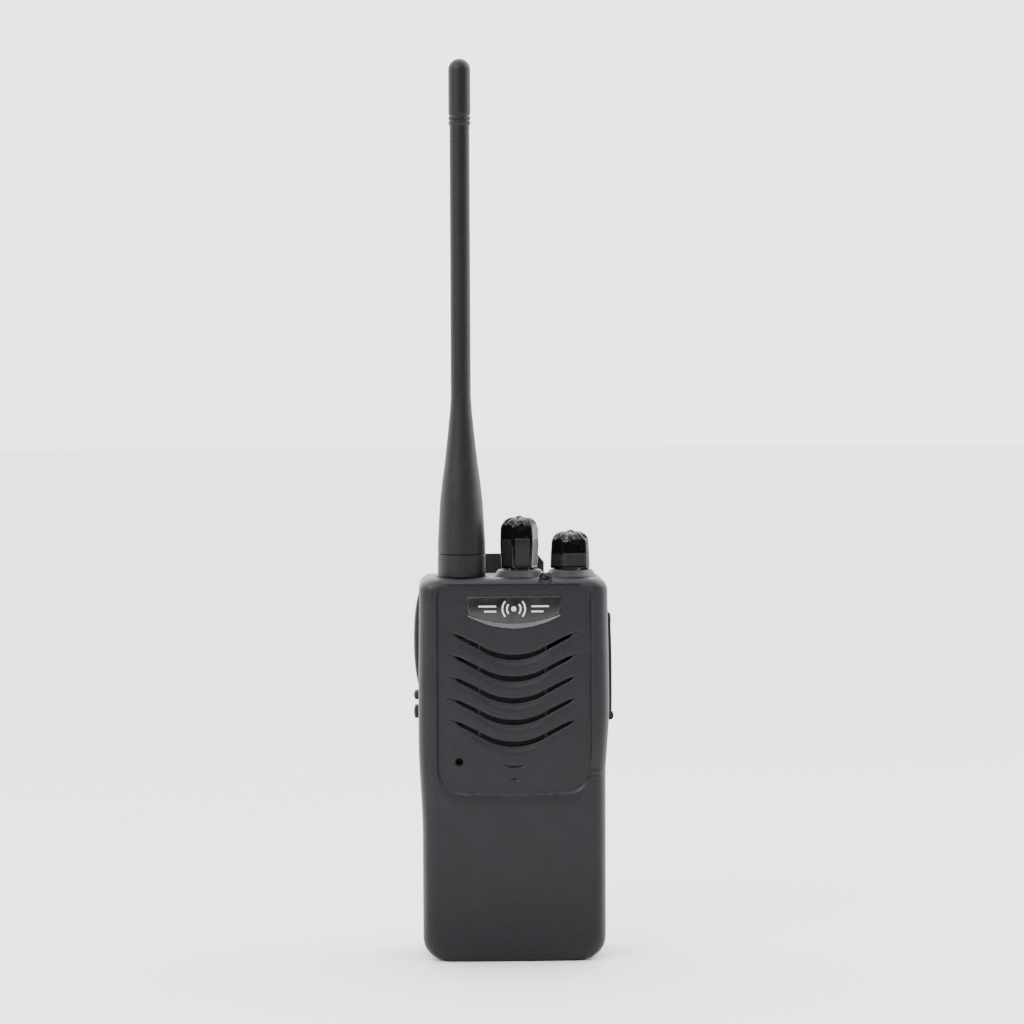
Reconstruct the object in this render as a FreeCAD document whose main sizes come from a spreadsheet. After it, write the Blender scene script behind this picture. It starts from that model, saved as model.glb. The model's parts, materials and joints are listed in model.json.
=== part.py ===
import FreeCAD, Part
import math
import os

import Sketcher

# A hand-held two way radio: case, battery pack, belt clip, knobs, keys and a screwed-on whip antenna.
# Origin: the middle of the base that it stands on. +Z up, the speaker side faces -Y. Millimetres.

doc = FreeCAD.newDocument("two_way_radio")
sheet = doc.addObject("Spreadsheet::Sheet", "sizes")
V = FreeCAD.Vector


# ---------------------------------------------------------------- driving sizes

class Size:
    """A number together with the spreadsheet expression that gives it."""

    def __init__(self, value, text):
        self.value = value
        self.text = text

    def __add__(self, other):
        other = as_size(other)
        return Size(self.value + other.value, f"({self.text} + {other.text})")

    def __radd__(self, other):
        return as_size(other) + self

    def __sub__(self, other):
        other = as_size(other)
        return Size(self.value - other.value, f"({self.text} - {other.text})")

    def __rsub__(self, other):
        return as_size(other) - self

    def __mul__(self, other):
        other = as_size(other)
        return Size(self.value * other.value, f"({self.text} * {other.text})")

    def __rmul__(self, other):
        return as_size(other) * self

    def __truediv__(self, other):
        other = as_size(other)
        return Size(self.value / other.value, f"({self.text} / {other.text})")

    def __neg__(self):
        return Size(-self.value, f"(-1 * {self.text})")


def as_size(number):
    """A plain number as a Size, so that both kinds can be mixed."""
    if isinstance(number, Size):
        return number
    return Size(float(number), repr(float(number)) if number >= 0 else f"({float(number)!r})")


CELLS = {
    # case
    "case_half_low": 26.7,
    "case_half_high": 27.8,
    "case_half_top": 27.4,
    "case_flare_start": 32.0,
    "case_flare_end": 64.0,
    "case_high": 112.0,
    "case_front": 16.5,
    "case_back": 4.0,
    "case_wall": 2.0,
    "front_wall": 2.2,
    "top_corner": 4.0,
    "foot_corner": 7.0,
    "front_round": 3.4,
    # front panel, badge and sound slots
    "panel_half": 22.3,
    "panel_low": 49.6,
    "panel_top": 108.4,
    "panel_deep": 0.8,
    "panel_round": 7.0,
    "panel_top_round": 3.0,
    "badge_half": 13.9,
    "badge_half_low": 13.1,
    "badge_top": 106.6,
    "badge_side_low": 101.4,
    "badge_low": 98.8,
    "badge_thick": 0.9,
    "slot_count": 5,
    "slot_pitch": 6.3,
    "slot_low": 63.7,
    "slot_arc": 18.0,
    "slot_half": 17.3,
    "slot_thick": 1.5,
    "scoop_deep": 1.1,
    "mic_x": -16.0,
    "mic_z": 58.5,
    "mic_hole": 1.0,
    # top deck
    "stem_y": -6.5,
    "antenna_x": -14.9,
    "channel_x": 2.0,
    "volume_x": 17.0,
    "ring_base": 7.2,
    "ring_top": 6.1,
    "ring_high": 2.0,
    "bush_r": 3.0,
    "bush_gap": 0.2,
    "shaft_r": 2.0,
    "run_gap": 0.05,
    "nut_flat": 7.6,
    "nut_thick": 1.5,
    "led_x": 9.4,
    "led_r": 1.65,
    # antenna
    "collar_r": 7.0,
    "collar_low": 111.3,
    "collar_top": 118.5,
    "whip_r": 2.93,
    "antenna_top": 262.6,
    "thread_r": 3.175,
    # battery, chassis and clip
    "battery_half": 26.4,
    "battery_low": 0.0,
    "battery_top": 84.0,
    "battery_back": 16.5,
    "battery_split": 7.9,
    "chassis_back": 12.0,
    "chassis_front": 1.8,
    "clip_y": 17.9,
    "clip_z": 101.0,
    "clip_arm_y": 20.7,
    "clip_thick": 1.8,
    "clip_half": 10.3,
    "clip_low": 34.0,
    "clip_top": 117.2,
    "clip_pin_r": 1.0,
    # side parts
    "side_y": -3.4,
    "side_half": 4.6,
    "ptt_low": 79.8,
    "ptt_top": 106.8,
    "ptt_out": 1.2,
    "key_gap": 0.25,
    "cover_low": 72.8,
    "cover_top": 101.2,
    "hinge_x": 28.05,
    "hinge_z": 71.3,
    "hinge_r": 1.2,
    "jack_big_r": 1.8,
    "jack_small_r": 1.3,
    "jack_big_z": 93.5,
    "jack_small_z": 82.5,
    # inside
    "board_y": 0.2,
    "board_thick": 1.0,
    "speaker_z": 76.0,
    "speaker_r": 18.0,
}

for row, (alias, number) in enumerate(CELLS.items(), start=1):
    sheet.set(f"A{row}", alias)
    sheet.set(f"B{row}", str(number))
    sheet.setAlias(f"B{row}", alias)
doc.recompute()


def size(alias):
    """The Size of one spreadsheet cell."""
    return Size(float(sheet.get(alias)), f"sizes.{alias}")


# ---------------------------------------------------------------- building helpers

def bind(obj, prop, amount):
    """Sets a property from a Size, keeping it bound to the spreadsheet."""
    amount = as_size(amount)
    obj.setExpression(prop, amount.text)


def place(obj, x=0, y=0, z=0, axis=None, turn=0):
    """Puts an object at a bound position, turned about an axis through its own origin."""
    if axis is not None:
        obj.Placement = FreeCAD.Placement(V(0, 0, 0), FreeCAD.Rotation(axis, turn))
    for name, amount in (("x", x), ("y", y), ("z", z)):
        bind(obj, f"Placement.Base.{name}", amount)
    return obj


def new_body(name):
    """An empty PartDesign body whose label is the node's name."""
    made = doc.addObject("PartDesign::Body", name)
    made.Label = name
    return made


def origin_plane(body, role):
    """One of a body's own origin planes."""
    return next(f for f in body.Origin.OriginFeatures if f.Role == role)


def new_sketch(body, name, role, away=0):
    """A sketch on a body's origin plane, moved along that plane's normal."""
    made = body.newObject("Sketcher::SketchObject", name)
    made.AttachmentSupport = [(origin_plane(body, role), "")]
    made.MapMode = "FlatFace"
    bind(made, "AttachmentOffset.Base.z", away)
    return made


def pin_point(sketch, geometry, position, x, y):
    """Fixes one point of a sketch at bound coordinates."""
    for kind, amount in (("DistanceX", x), ("DistanceY", y)):
        amount = as_size(amount)
        index = sketch.addConstraint(Sketcher.Constraint(kind, geometry, position, amount.value))
        sketch.setExpression(f"Constraints[{index}]", amount.text)


def draw_outline(sketch, points, arcs=None):
    """A closed outline. arcs maps a side's number to (radius, bulge), bulge +1 to the left of its run."""
    arcs = arcs or {}
    plain = [V(as_size(x).value, as_size(y).value, 0) for x, y in points]
    ends = []
    for i, start in enumerate(plain):
        stop = plain[(i + 1) % len(plain)]
        if i in arcs:
            radius, bulge = as_size(arcs[i][0]), arcs[i][1]
            half = (stop - start) * 0.5
            left = V(-half.y, half.x, 0).normalize() * bulge
            rise = radius.value - math.sqrt(radius.value ** 2 - half.Length ** 2)
            geometry = sketch.addGeometry(Part.Arc(start, start + half + left * rise, stop), False)
            swapped = (sketch.getPoint(geometry, 1) - start).Length > 1e-6
            index = sketch.addConstraint(Sketcher.Constraint("Radius", geometry, radius.value))
            sketch.setExpression(f"Constraints[{index}]", radius.text)
        else:
            geometry = sketch.addGeometry(Part.LineSegment(start, stop), False)
            swapped = False
        ends.append((geometry, 2, 1) if swapped else (geometry, 1, 2))
    for i, (geometry, first, last) in enumerate(ends):
        following = ends[(i + 1) % len(ends)]
        sketch.addConstraint(Sketcher.Constraint("Coincident", geometry, last, following[0], following[1]))
        pin_point(sketch, geometry, first, *points[i])


def draw_rectangle(sketch, x0, y0, x1, y1):
    """A closed rectangle between two bound corners."""
    draw_outline(sketch, [(x0, y0), (x1, y0), (x1, y1), (x0, y1)])


def draw_circle(sketch, x, y, radius):
    """A circle at bound coordinates."""
    radius = as_size(radius)
    centre = V(as_size(x).value, as_size(y).value, 0)
    geometry = sketch.addGeometry(Part.Circle(centre, V(0, 0, 1), radius.value), False)
    index = sketch.addConstraint(Sketcher.Constraint("Radius", geometry, radius.value))
    sketch.setExpression(f"Constraints[{index}]", radius.text)
    pin_point(sketch, geometry, 3, x, y)


def pad(body, sketch, length, back=False):
    """Adds material from a sketch along its normal, or against it."""
    made = body.newObject("PartDesign::Pad", sketch.Name + "_pad")
    made.Profile = sketch
    bind(made, "Length", length)
    made.Reversed = back
    doc.recompute()
    return made


def pocket(body, sketch, length, back=False):
    """Removes material against a sketch's normal, or along it, and makes sure that it did."""
    before = body.Shape.Volume
    made = body.newObject("PartDesign::Pocket", sketch.Name + "_pocket")
    made.Profile = sketch
    bind(made, "Length", length)
    made.Reversed = back
    doc.recompute()
    if not body.Shape.Volume < before - 1e-4:
        raise RuntimeError(f"{made.Name} cut nothing")
    return made


def revolve(body, sketch):
    """Turns a profile a full round about the sketch's upright axis."""
    made = body.newObject("PartDesign::Revolution", sketch.Name + "_turned")
    made.Profile = sketch
    made.ReferenceAxis = (sketch, ["V_Axis"])
    made.Angle = 360
    doc.recompute()
    return made


def edge_names(shape, wanted):
    """The names of the edges of a shape for which wanted(edge) holds."""
    return [f"Edge{i}" for i, edge in enumerate(shape.Edges, start=1) if wanted(edge)]


def round_edges(body, name, radius, wanted):
    """A PartDesign fillet on the edges of the body's tip that wanted picks."""
    base = body.Tip
    made = body.newObject("PartDesign::Fillet", name)
    made.Base = (base, edge_names(base.Shape, wanted))
    bind(made, "Radius", radius)
    doc.recompute()
    return made


def runs_along(edge, axis):
    """Whether an edge is straight and parallel to an axis."""
    if not isinstance(edge.Curve, (Part.Line, Part.LineSegment)):
        return False
    return abs(edge.tangentAt(edge.FirstParameter).dot(axis)) > 0.9999


def block(name, x0, x1, y0, y1, z0, z1):
    """A Part box between bound limits."""
    made = doc.addObject("Part::Box", name)
    made.Label = name
    bind(made, "Length", x1 - as_size(x0))
    bind(made, "Width", y1 - as_size(y0))
    bind(made, "Height", z1 - as_size(z0))
    return place(made, x0, y0, z0)


def rod(name, x, y, z, radius, length, axis="Z"):
    """A Part cylinder that starts at a bound point and runs along +X, +Y or +Z."""
    made = doc.addObject("Part::Cylinder", name)
    made.Label = name
    bind(made, "Radius", radius)
    bind(made, "Height", length)
    turns = {"X": (V(0, 1, 0), 90), "Y": (V(1, 0, 0), -90), "Z": (V(0, 0, 1), 0)}
    return place(made, x, y, z, *turns[axis])


def cut_away(name, base, tools):
    """base less every tool."""
    cutter = tools[0]
    if len(tools) > 1:
        cutter = joined(name + "_cutter", tools)
    made = doc.addObject("Part::Cut", name)
    made.Label = name
    made.Base = base
    made.Tool = cutter
    return made


def joined(name, pieces):
    """Several objects made one. Pieces that don't touch stay separate solids."""
    made = doc.addObject("Part::MultiFuse", name)
    made.Label = name
    made.Shapes = pieces
    made.Refine = True
    return made


def turned_body(name, points, x=0, y=0, z=0, arcs=None):
    """A body revolved about an upright axis. points are (radius, height) pairs of its section."""
    body = new_body(name)
    sketch = new_sketch(body, name + "_section", "XZ_Plane")
    draw_outline(sketch, points, arcs)
    revolve(body, sketch)
    place(body, x, y, z)
    return body


nodes = []


def keep(made):
    """Marks an object as a finished node, to be written to its own file."""
    nodes.append(made)
    return made


# ---------------------------------------------------------------- front case

X_AXIS, Y_AXIS, Z_AXIS = V(1, 0, 0), V(0, 1, 0), V(0, 0, 1)
panel_y = size("case_front") - size("panel_deep")


def case_outline(inset=0):
    """The case seen from the front, as (x, z) corners, moved inwards by inset."""
    half_low = size("case_half_low") - inset
    half_high = size("case_half_high") - inset
    half_top = size("case_half_top") - inset
    top = size("case_high") - inset
    right = [
        (half_low, as_size(inset)),
        (half_low, size("case_flare_start")),
        (half_high, size("case_flare_end")),
        (half_top, top),
    ]
    return right + [(-x, z) for x, z in reversed(right)]


def curved_slot(middle, half, thick, drop):
    """Corners and arcs of one smiling slot: a round middle with tapered straight ends."""
    swing = 27
    sine, cosine = math.sin(math.radians(swing)), math.cos(math.radians(swing))
    rise = math.tan(math.radians(swing))
    upper = size("slot_arc") - thick / 2
    lower = size("slot_arc") + thick / 2 + drop
    centre = middle + size("slot_arc")
    join_z = centre - upper * cosine
    under_z = centre - lower * cosine
    tip_z = join_z + (half - upper * sine) * rise
    tip = 0.4
    right_top = (upper * sine, join_z)
    right_low = (lower * sine, under_z)
    points = [
        (-right_low[0], under_z),
        right_low,
        (half, tip_z - tip),
        (half, tip_z),
        right_top,
        (-right_top[0], join_z),
        (-half, tip_z),
        (-half, tip_z - tip),
    ]
    return points, {0: (lower, -1), 4: (upper, 1)}


def cut_slots(body):
    """Five sound slots, each in a scoop whose lower side slopes up to the panel."""
    for i in range(int(size("slot_count").value)):
        middle = size("slot_low") + size("slot_pitch") * i
        half = size("slot_half") - 1.0 + 0.25 * i
        outer = new_sketch(body, f"scoop_mouth_{i}", "XZ_Plane", panel_y + 0.3)
        draw_outline(outer, *curved_slot(middle, half, size("slot_thick") + 0.5, 1.9))
        inner = new_sketch(body, f"scoop_floor_{i}", "XZ_Plane", panel_y - size("scoop_deep"))
        draw_outline(inner, *curved_slot(middle, half - 0.6, size("slot_thick"), 0))
        before = body.Shape.Volume
        scoop = body.newObject("PartDesign::SubtractiveLoft", f"scoop_{i}")
        scoop.Profile = outer
        scoop.Sections = [inner]
        scoop.Ruled = True
        doc.recompute()
        if not body.Shape.Volume < before - 1e-4:
            raise RuntimeError(f"scoop {i} cut nothing")
        through = new_sketch(body, f"slot_{i}", "XZ_Plane", panel_y)
        draw_outline(through, *curved_slot(middle, half - 0.6, size("slot_thick"), 0))
        pocket(body, through, size("front_wall") + 1)


def make_front_case():
    """The moulded front shell, open at the back, with every opening that the front pieces need."""
    body = new_body("front_case")
    outline = new_sketch(body, "case_outline", "XZ_Plane", -size("case_back"))
    draw_outline(outline, case_outline())
    pad(body, outline, size("case_front") + size("case_back"))
    high = size("case_high").value
    round_edges(body, "top_corners", size("top_corner"),
                lambda e: runs_along(e, Y_AXIS) and e.CenterOfMass.z > high - 1)
    round_edges(body, "foot_corners", size("foot_corner"),
                lambda e: runs_along(e, Y_AXIS) and e.CenterOfMass.z < 1)
    front = -size("case_front").value
    round_edges(body, "front_round", size("front_round"),
                lambda e: e.BoundBox.YMax < front + 0.01)

    inside = new_sketch(body, "inside", "XZ_Plane", -size("case_back"))
    draw_outline(inside, case_outline(size("case_wall")))
    pocket(body, inside, size("case_front") + size("case_back") - size("front_wall"), back=True)

    panel = new_sketch(body, "panel", "XZ_Plane", size("case_front"))
    draw_rectangle(panel, -size("panel_half"), size("panel_low"), size("panel_half"), size("panel_top"))
    pocket(body, panel, size("panel_deep"))
    middle = size("panel_low").value + 20
    side = size("panel_half").value
    in_panel = lambda e: runs_along(e, Y_AXIS) and abs(abs(e.CenterOfMass.x) - side) < 0.01
    round_edges(body, "panel_low_corners", size("panel_round"),
                lambda e: in_panel(e) and e.CenterOfMass.z < middle)
    round_edges(body, "panel_top_corners", size("panel_top_round"),
                lambda e: in_panel(e) and e.CenterOfMass.z > middle)

    cut_slots(body)
    cut_badge_seat(body)
    cut_front_holes(body)
    shape_top_deck(body)
    cut_side_openings(body)
    add_screw_posts(body)
    latch = new_sketch(body, "latch_opening", "XY_Plane", 0)
    draw_rectangle(latch, -9.3, -5.0, 9.3, size("case_back") + 1)
    pocket(body, latch, size("case_wall") + 0.5, back=True)
    return keep(body)


def badge_outline(inset=0):
    """The badge seen from the front: a wide top edge, drawn-in sides and a bowed lower edge."""
    half = size("badge_half") - inset
    half_low = size("badge_half_low") - inset
    top = size("badge_top") - inset
    side_low = size("badge_side_low") + as_size(inset) / 2
    sag = size("badge_side_low") - size("badge_low") - as_size(inset) / 2
    bow = (half_low * half_low + sag * sag) / (2 * sag)
    return [(-half_low, side_low), (half_low, side_low), (half, top), (-half, top)], {0: (bow, -1)}


def cut_badge_seat(body):
    """The shallow seat that the badge is stuck into."""
    seat = new_sketch(body, "badge_seat", "XZ_Plane", panel_y)
    draw_outline(seat, *badge_outline(-0.15))
    pocket(body, seat, 0.7)


def cut_front_holes(body):
    """The microphone hole and two short index dashes."""
    hole = new_sketch(body, "mic_hole_circle", "XZ_Plane", panel_y)
    draw_circle(hole, size("mic_x"), size("mic_z"), size("mic_hole"))
    pocket(body, hole, size("front_wall") + 1)
    for name, half, low in (("dash_long", 3.4, 57.0), ("dash_short", 1.3, 54.0)):
        dash = new_sketch(body, name, "XZ_Plane", panel_y)
        draw_rectangle(dash, -half, low, half, low + 0.5)
        pocket(body, dash, 0.3)


LENS_TILT = 40
LENS_Y = -12.0
LENS_Z = 107.6


def shape_top_deck(body):
    """Raised rings for the knobs, the antenna's round seat and the holes through the deck."""
    deck = size("case_high")
    stem = size("stem_y")
    seat = new_sketch(body, "antenna_seat", "XY_Plane", deck)
    draw_circle(seat, size("antenna_x"), stem, size("collar_r") + 0.9)
    pocket(body, seat, deck - size("collar_low") + 0.3)
    hole = new_sketch(body, "antenna_hole", "XY_Plane", deck)
    draw_circle(hole, size("antenna_x"), stem, size("thread_r") + size("bush_gap"))
    pocket(body, hole, 6)
    for name in ("channel", "volume"):
        x = size(f"{name}_x")
        ring = body.newObject("PartDesign::AdditiveCone", f"{name}_ring")
        bind(ring, "Radius1", size("ring_base"))
        bind(ring, "Radius2", size("ring_top"))
        bind(ring, "Height", size("ring_high"))
        bind(ring, "Placement.Base.x", x)
        bind(ring, "Placement.Base.y", stem)
        bind(ring, "Placement.Base.z", deck)
        doc.recompute()
        well = new_sketch(body, f"{name}_well", "XY_Plane", deck + size("ring_high"))
        draw_circle(well, x, stem, size("ring_top") - 1.0)
        pocket(body, well, size("ring_high"))
        opening = new_sketch(body, f"{name}_hole", "XY_Plane", deck)
        draw_circle(opening, x, stem, size("bush_r") + size("bush_gap"))
        pocket(body, opening, 6)
    lens = body.newObject("PartDesign::SubtractiveCylinder", "lens_hole")
    bind(lens, "Radius", size("led_r") + 0.1)
    lens.Height = 6
    lens.Placement = FreeCAD.Placement(V(0, 0, 0), FreeCAD.Rotation(X_AXIS, LENS_TILT))
    bind(lens, "Placement.Base.x", size("led_x"))
    bind(lens, "Placement.Base.y", as_size(LENS_Y))
    bind(lens, "Placement.Base.z", as_size(LENS_Z))
    doc.recompute()


KEYS = {"side_key_1": (75.9, 78.5), "side_key_2": (70.4, 74.2)}


def cut_side_openings(body):
    """Openings for the talk bar and two keys on the left, and for the jacks on the right."""
    side = size("side_y")
    gap = size("key_gap")
    reach = size("case_wall") + 2
    left = -size("case_half_high") - 0.5
    bar = new_sketch(body, "talk_opening", "YZ_Plane", left)
    draw_rectangle(bar, side - size("side_half") - gap, size("ptt_low") - gap,
                   side + size("side_half") + gap, size("ptt_top") + gap)
    pocket(body, bar, reach, back=True)
    for name, (low, high) in KEYS.items():
        key = new_sketch(body, f"{name}_opening", "YZ_Plane", left)
        draw_rectangle(key, side - 3 - gap, low - gap, side + 3 + gap, high + gap)
        pocket(body, key, reach, back=True)
    jack = new_sketch(body, "jack_opening", "YZ_Plane", size("case_half_high") + 0.5)
    draw_rectangle(jack, side - 3.7, size("jack_small_z") - 5.7, side + 3.7, size("jack_big_z") + 5.7)
    pocket(body, jack, reach)
    add_hinge_lugs(body)


def add_hinge_lugs(body):
    """Two lugs on the right wall that hold the jack cover's pin, with room for its barrel between."""
    side = size("side_y")
    half = size("side_half")
    face = size("case_half_high") - 1.3
    for name, start, stop in (("front", side - half - 1.9, side - half - 0.2),
                              ("rear", side + half + 0.2, side + half + 1.9)):
        lug = new_sketch(body, f"lug_{name}", "YZ_Plane", face)
        draw_rectangle(lug, start, size("hinge_z") - 1.3, stop, size("hinge_z") + 1.3)
        pad(body, lug, size("hinge_x") + size("hinge_r") - face)
    groove = new_sketch(body, "barrel_groove", "YZ_Plane", size("hinge_x") - size("hinge_r") - 0.3)
    draw_rectangle(groove, side - half - 0.2, size("hinge_z") - 1.6, side + half + 0.2, size("hinge_z") + 1.6)
    pocket(body, groove, 4, back=True)
    bore = new_sketch(body, "hinge_bore", "XZ_Plane", -(side + half + 1.9))
    draw_circle(bore, size("hinge_x"), size("hinge_z"), 0.5)
    pocket(body, bore, 2 * half + 3.8, back=True)


POSTS = ((-22.0, 9.0), (22.0, 9.0), (-22.4, 54.0), (22.4, 54.0))


def add_screw_posts(body):
    """Four posts behind the front wall that the chassis screws bite into."""
    for number, (x, z) in enumerate(POSTS, start=1):
        post = new_sketch(body, f"post_{number}", "XZ_Plane", size("case_front") - 1)
        draw_circle(post, x, z, 2.4)
        pad(body, post, size("case_front") - 1 + size("chassis_front") - 0.1, back=True)
        hole = new_sketch(body, f"post_hole_{number}", "XZ_Plane", -(size("chassis_front") - 0.1))
        draw_circle(hole, x, z, 0.85)
        pocket(body, hole, 9, back=True)


# ---------------------------------------------------------------- front trim, speaker and microphone

def make_badge():
    """The blank badge plate in its seat."""
    body = new_body("badge_plate")
    plate = new_sketch(body, "badge_shape", "XZ_Plane", panel_y - 0.68)
    draw_outline(plate, *badge_outline())
    pad(body, plate, size("badge_thick"))
    return keep(body)


def make_led():
    """The status lamp's lens in the sloping front edge, and the lamp under it."""
    radius = size("led_r")
    body = turned_body("led_lens", [(0, -3.0), (radius - 0.35, -3.0), (radius - 0.35, -1.2), (radius, -1.2),
                                    (radius, 4.3), (0.2, 5.2), (0, 5.2)], arcs={4: (1.8, -1)})
    body.Placement = FreeCAD.Placement(V(0, 0, 0), FreeCAD.Rotation(X_AXIS, LENS_TILT))
    place_only(body, size("led_x"), LENS_Y, LENS_Z)
    keep(body)
    keep(block("led_chip", size("led_x") - 1, size("led_x") + 1, -9.6, -7.6, 103.9, 105.2))


def place_only(obj, x, y, z):
    """Binds an object's position and leaves its turn as it is."""
    for name, amount in (("x", x), ("y", y), ("z", z)):
        bind(obj, f"Placement.Base.{name}", amount)
    return obj


def front_facing(name, points, x, z, y, arcs=None):
    """A round piece turned about a line along Y. points are (radius, distance towards the front) pairs."""
    body = turned_body(name, points, arcs=arcs)
    body.Placement = FreeCAD.Placement(V(0, 0, 0), FreeCAD.Rotation(X_AXIS, 90))
    return place_only(body, x, y, z)


def make_speaker():
    """The loudspeaker behind the slots: dust felt, basket, cone, magnet and its clamp ring."""
    z = size("speaker_z")
    radius = size("speaker_r")
    inner_face = -(size("case_front") - size("front_wall"))
    keep(front_facing("speaker_felt", [(0, 0), (radius + 0.4, 0), (radius + 0.4, 0.3), (0, 0.3)],
                      0, z, inner_face + 0.35))
    basket = [(8.2, 0), (9.4, 0), (radius - 1.2, 4.0), (radius, 4.0), (radius, 5.2), (radius - 2.0, 5.2),
              (radius - 2.2, 4.9), (8.2, 0.8)]
    keep(front_facing("speaker_frame", basket, 0, z, inner_face + 5.8))
    cone = [(0, 1.6), (5.0, 1.0), (radius - 2.6, 4.95), (radius - 2.1, 5.22), (radius - 0.2, 5.22),
            (radius - 0.2, 5.4), (radius - 2.3, 5.4), (radius - 3.0, 5.3), (5.2, 1.5), (0, 2.4)]
    keep(front_facing("speaker_cone", cone, 0, z, inner_face + 5.8))
    keep(front_facing("speaker_magnet", [(0, 0), (8.0, 0), (8.0, 2.1), (4.0, 2.1), (4.0, 2.3), (0, 2.3)],
                      0, z, inner_face + 7.3))


def make_microphone():
    """The electret capsule in its rubber boot behind the small hole."""
    inner_face = -(size("case_front") - size("front_wall"))
    boot = [(0.9, 2.6), (0.9, 3.1), (4.0, 3.1), (4.0, 0), (3.1, 0), (3.1, 2.6)]
    keep(front_facing("mic_boot", boot, size("mic_x"), size("mic_z"), inner_face + 3.12))
    keep(front_facing("mic_capsule", [(0, 0), (3.0, 0), (3.0, 2.2), (0, 2.2)],
                      size("mic_x"), size("mic_z"), inner_face + 3.1))


# ---------------------------------------------------------------- knobs and what they turn

def lobed_knob(name, x, low, top, base_r, widest_r, widest_z, lobes):
    """A fluted grip: a turned form with scallops between its ribs, and a hollow foot."""
    body = new_body(name)
    sketch = new_sketch(body, name + "_section", "XZ_Plane")
    draw_outline(sketch, [
        (size("shaft_r"), low + 1.9),
        (5.0, low + 1.9),
        (5.0, low),
        (base_r, low),
        (widest_r, widest_z),
        (widest_r - 0.5, top - 3.2),
        (widest_r - 2.6, top - 0.5),
        (0, top),
        (0, top - 4.0),
        (size("shaft_r"), top - 4.0),
    ])
    revolve(body, sketch)
    scallop = new_sketch(body, name + "_scallop", "XY_Plane", top + 0.5)
    draw_circle(scallop, widest_r + 1.55, 0, 2.0)
    first = pocket(body, scallop, top + 0.5 - low - 2.6)
    round_about = body.newObject("PartDesign::PolarPattern", name + "_flutes")
    round_about.Originals = [first]
    round_about.Axis = (sketch, ["V_Axis"])
    round_about.Angle = 360
    round_about.Occurrences = lobes
    body.Tip = round_about
    doc.recompute()
    place(body, x, size("stem_y"), 0)
    return keep(body)


def make_knob_group(kind, body_half, body_high, low, top, base_r, widest_r, widest_z, lobes):
    """One top control: its housing with a bush, the nut on the bush, the shaft and the knob."""
    x = size(f"{kind}_x")
    y = size("stem_y")
    under = size("case_high") - size("case_wall") - 0.1
    bush_top = size("case_high") + 3.3
    device = {"channel": "channel_switch", "volume": "volume_pot"}[kind]
    housing = block(device + "_box", x - body_half, x + body_half, y - body_half, y + body_half,
                    under - body_high, under)
    neck = rod(device + "_neck", x, y, under - 0.5, size("bush_r"), bush_top - under + 0.5)
    solid = joined(device + "_solid", [housing, neck])
    bore = rod(device + "_bore", x, y, under - body_high + 1.0, size("shaft_r") + size("run_gap"), 30)
    keep(cut_away(device, solid, [bore]))
    nut = doc.addObject("Part::Prism", kind + "_nut_hex")
    nut.Polygon = 6
    bind(nut, "Circumradius", size("nut_flat") / math.sqrt(3))
    bind(nut, "Height", size("nut_thick"))
    place(nut, x, y, size("case_high") + 0.1)
    hole = rod(kind + "_nut_hole", x, y, size("case_high"), size("bush_r"), 5)
    keep(cut_away(kind + "_nut", nut, [hole]))
    shaft_low = under - body_high + 1.3
    keep(rod(kind + "_shaft", x, y, shaft_low, size("shaft_r"), top - 4.2 - shaft_low))
    lobed_knob(kind + "_knob", x, low, top, base_r, widest_r, widest_z, lobes)


# ---------------------------------------------------------------- antenna

def make_antenna():
    """The coaxial socket on the deck and the rubber whip that screws onto it."""
    x = size("antenna_x")
    y = size("stem_y")
    thread = size("thread_r")
    deck = size("case_high")
    under = deck - size("case_wall") - 0.1
    low = size("collar_low")
    thread_top = deck + 3.6
    keep(turned_body("antenna_connector", [
        (0.75, under - 4.5), (4.2, under - 4.5), (4.2, under), (thread, under), (thread, thread_top),
        (2.2, thread_top), (2.2, thread_top - 1.6), (0.75, thread_top - 1.6)], x, y))
    keep(turned_body("antenna_seal", [
        (4.0, low - 0.25), (6.4, low - 0.25), (6.4, low + 0.3), (4.0, low + 0.3)], x, y))
    running = thread + size("run_gap")
    keep(turned_body("antenna_ferrule", [
        (running, low + 0.35), (4.8, low + 0.35), (4.8, deck + 5.2), (1.6, deck + 5.2),
        (1.6, thread_top + 0.4), (running, thread_top + 0.4)], x, y))
    keep(turned_body("antenna_contact", [
        (0, under - 1.0), (0.63, under - 1.0), (0.63, deck + 6.5), (0, deck + 6.5)], x, y))
    collar = size("collar_r")
    top = size("collar_top")
    keep(turned_body("antenna_collar", [
        (4.8, low + 0.35), (collar - 0.4, low + 0.35), (collar, low + 0.75), (collar, top - 0.25),
        (collar - 0.25, top), (4.8, top)], x, y))
    keep(whip_body(x, y))


WHIP_FLARE = ((6.95, 3.7), (6.6, 9.5), (6.25, 15.4), (5.6, 21.2), (4.8, 27.0), (4.15, 32.8), (3.55, 38.7),
              (3.25, 41.6))


def whip_body(x, y):
    """The moulded whip: a flared root, an even stem, two fine ring grooves and a round cap."""
    root = size("collar_top")
    deck = size("case_high")
    tip = size("antenna_top")
    stem = size("whip_r")
    ridge = stem + 0.3
    cap = tip - 16.0
    right = [(4.7, root + 0.06), (6.75, root + 0.06), (6.98, root + 0.3)]
    right += [(radius, root + rise) for radius, rise in WHIP_FLARE]
    right += [(stem + 0.02, root + 46.0), (stem, cap - 3.4), (ridge, cap - 2.8), (ridge, cap - 2.3),
              (stem, cap - 1.9), (ridge, cap - 1.5), (ridge, cap - 1.0), (stem, cap - 0.5), (ridge, cap),
              (ridge, tip - 3.2), (0.5, tip), (0, tip)]
    right += [(0, deck + 6.6), (1.4, deck + 6.6), (1.4, deck + 5.26), (4.7, deck + 5.26)]
    dome = len(right) - 7
    return turned_body("antenna_whip", right, x, y, arcs={dome: (3.24, -1)})


# ---------------------------------------------------------------- keys, jacks and their cover

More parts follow.
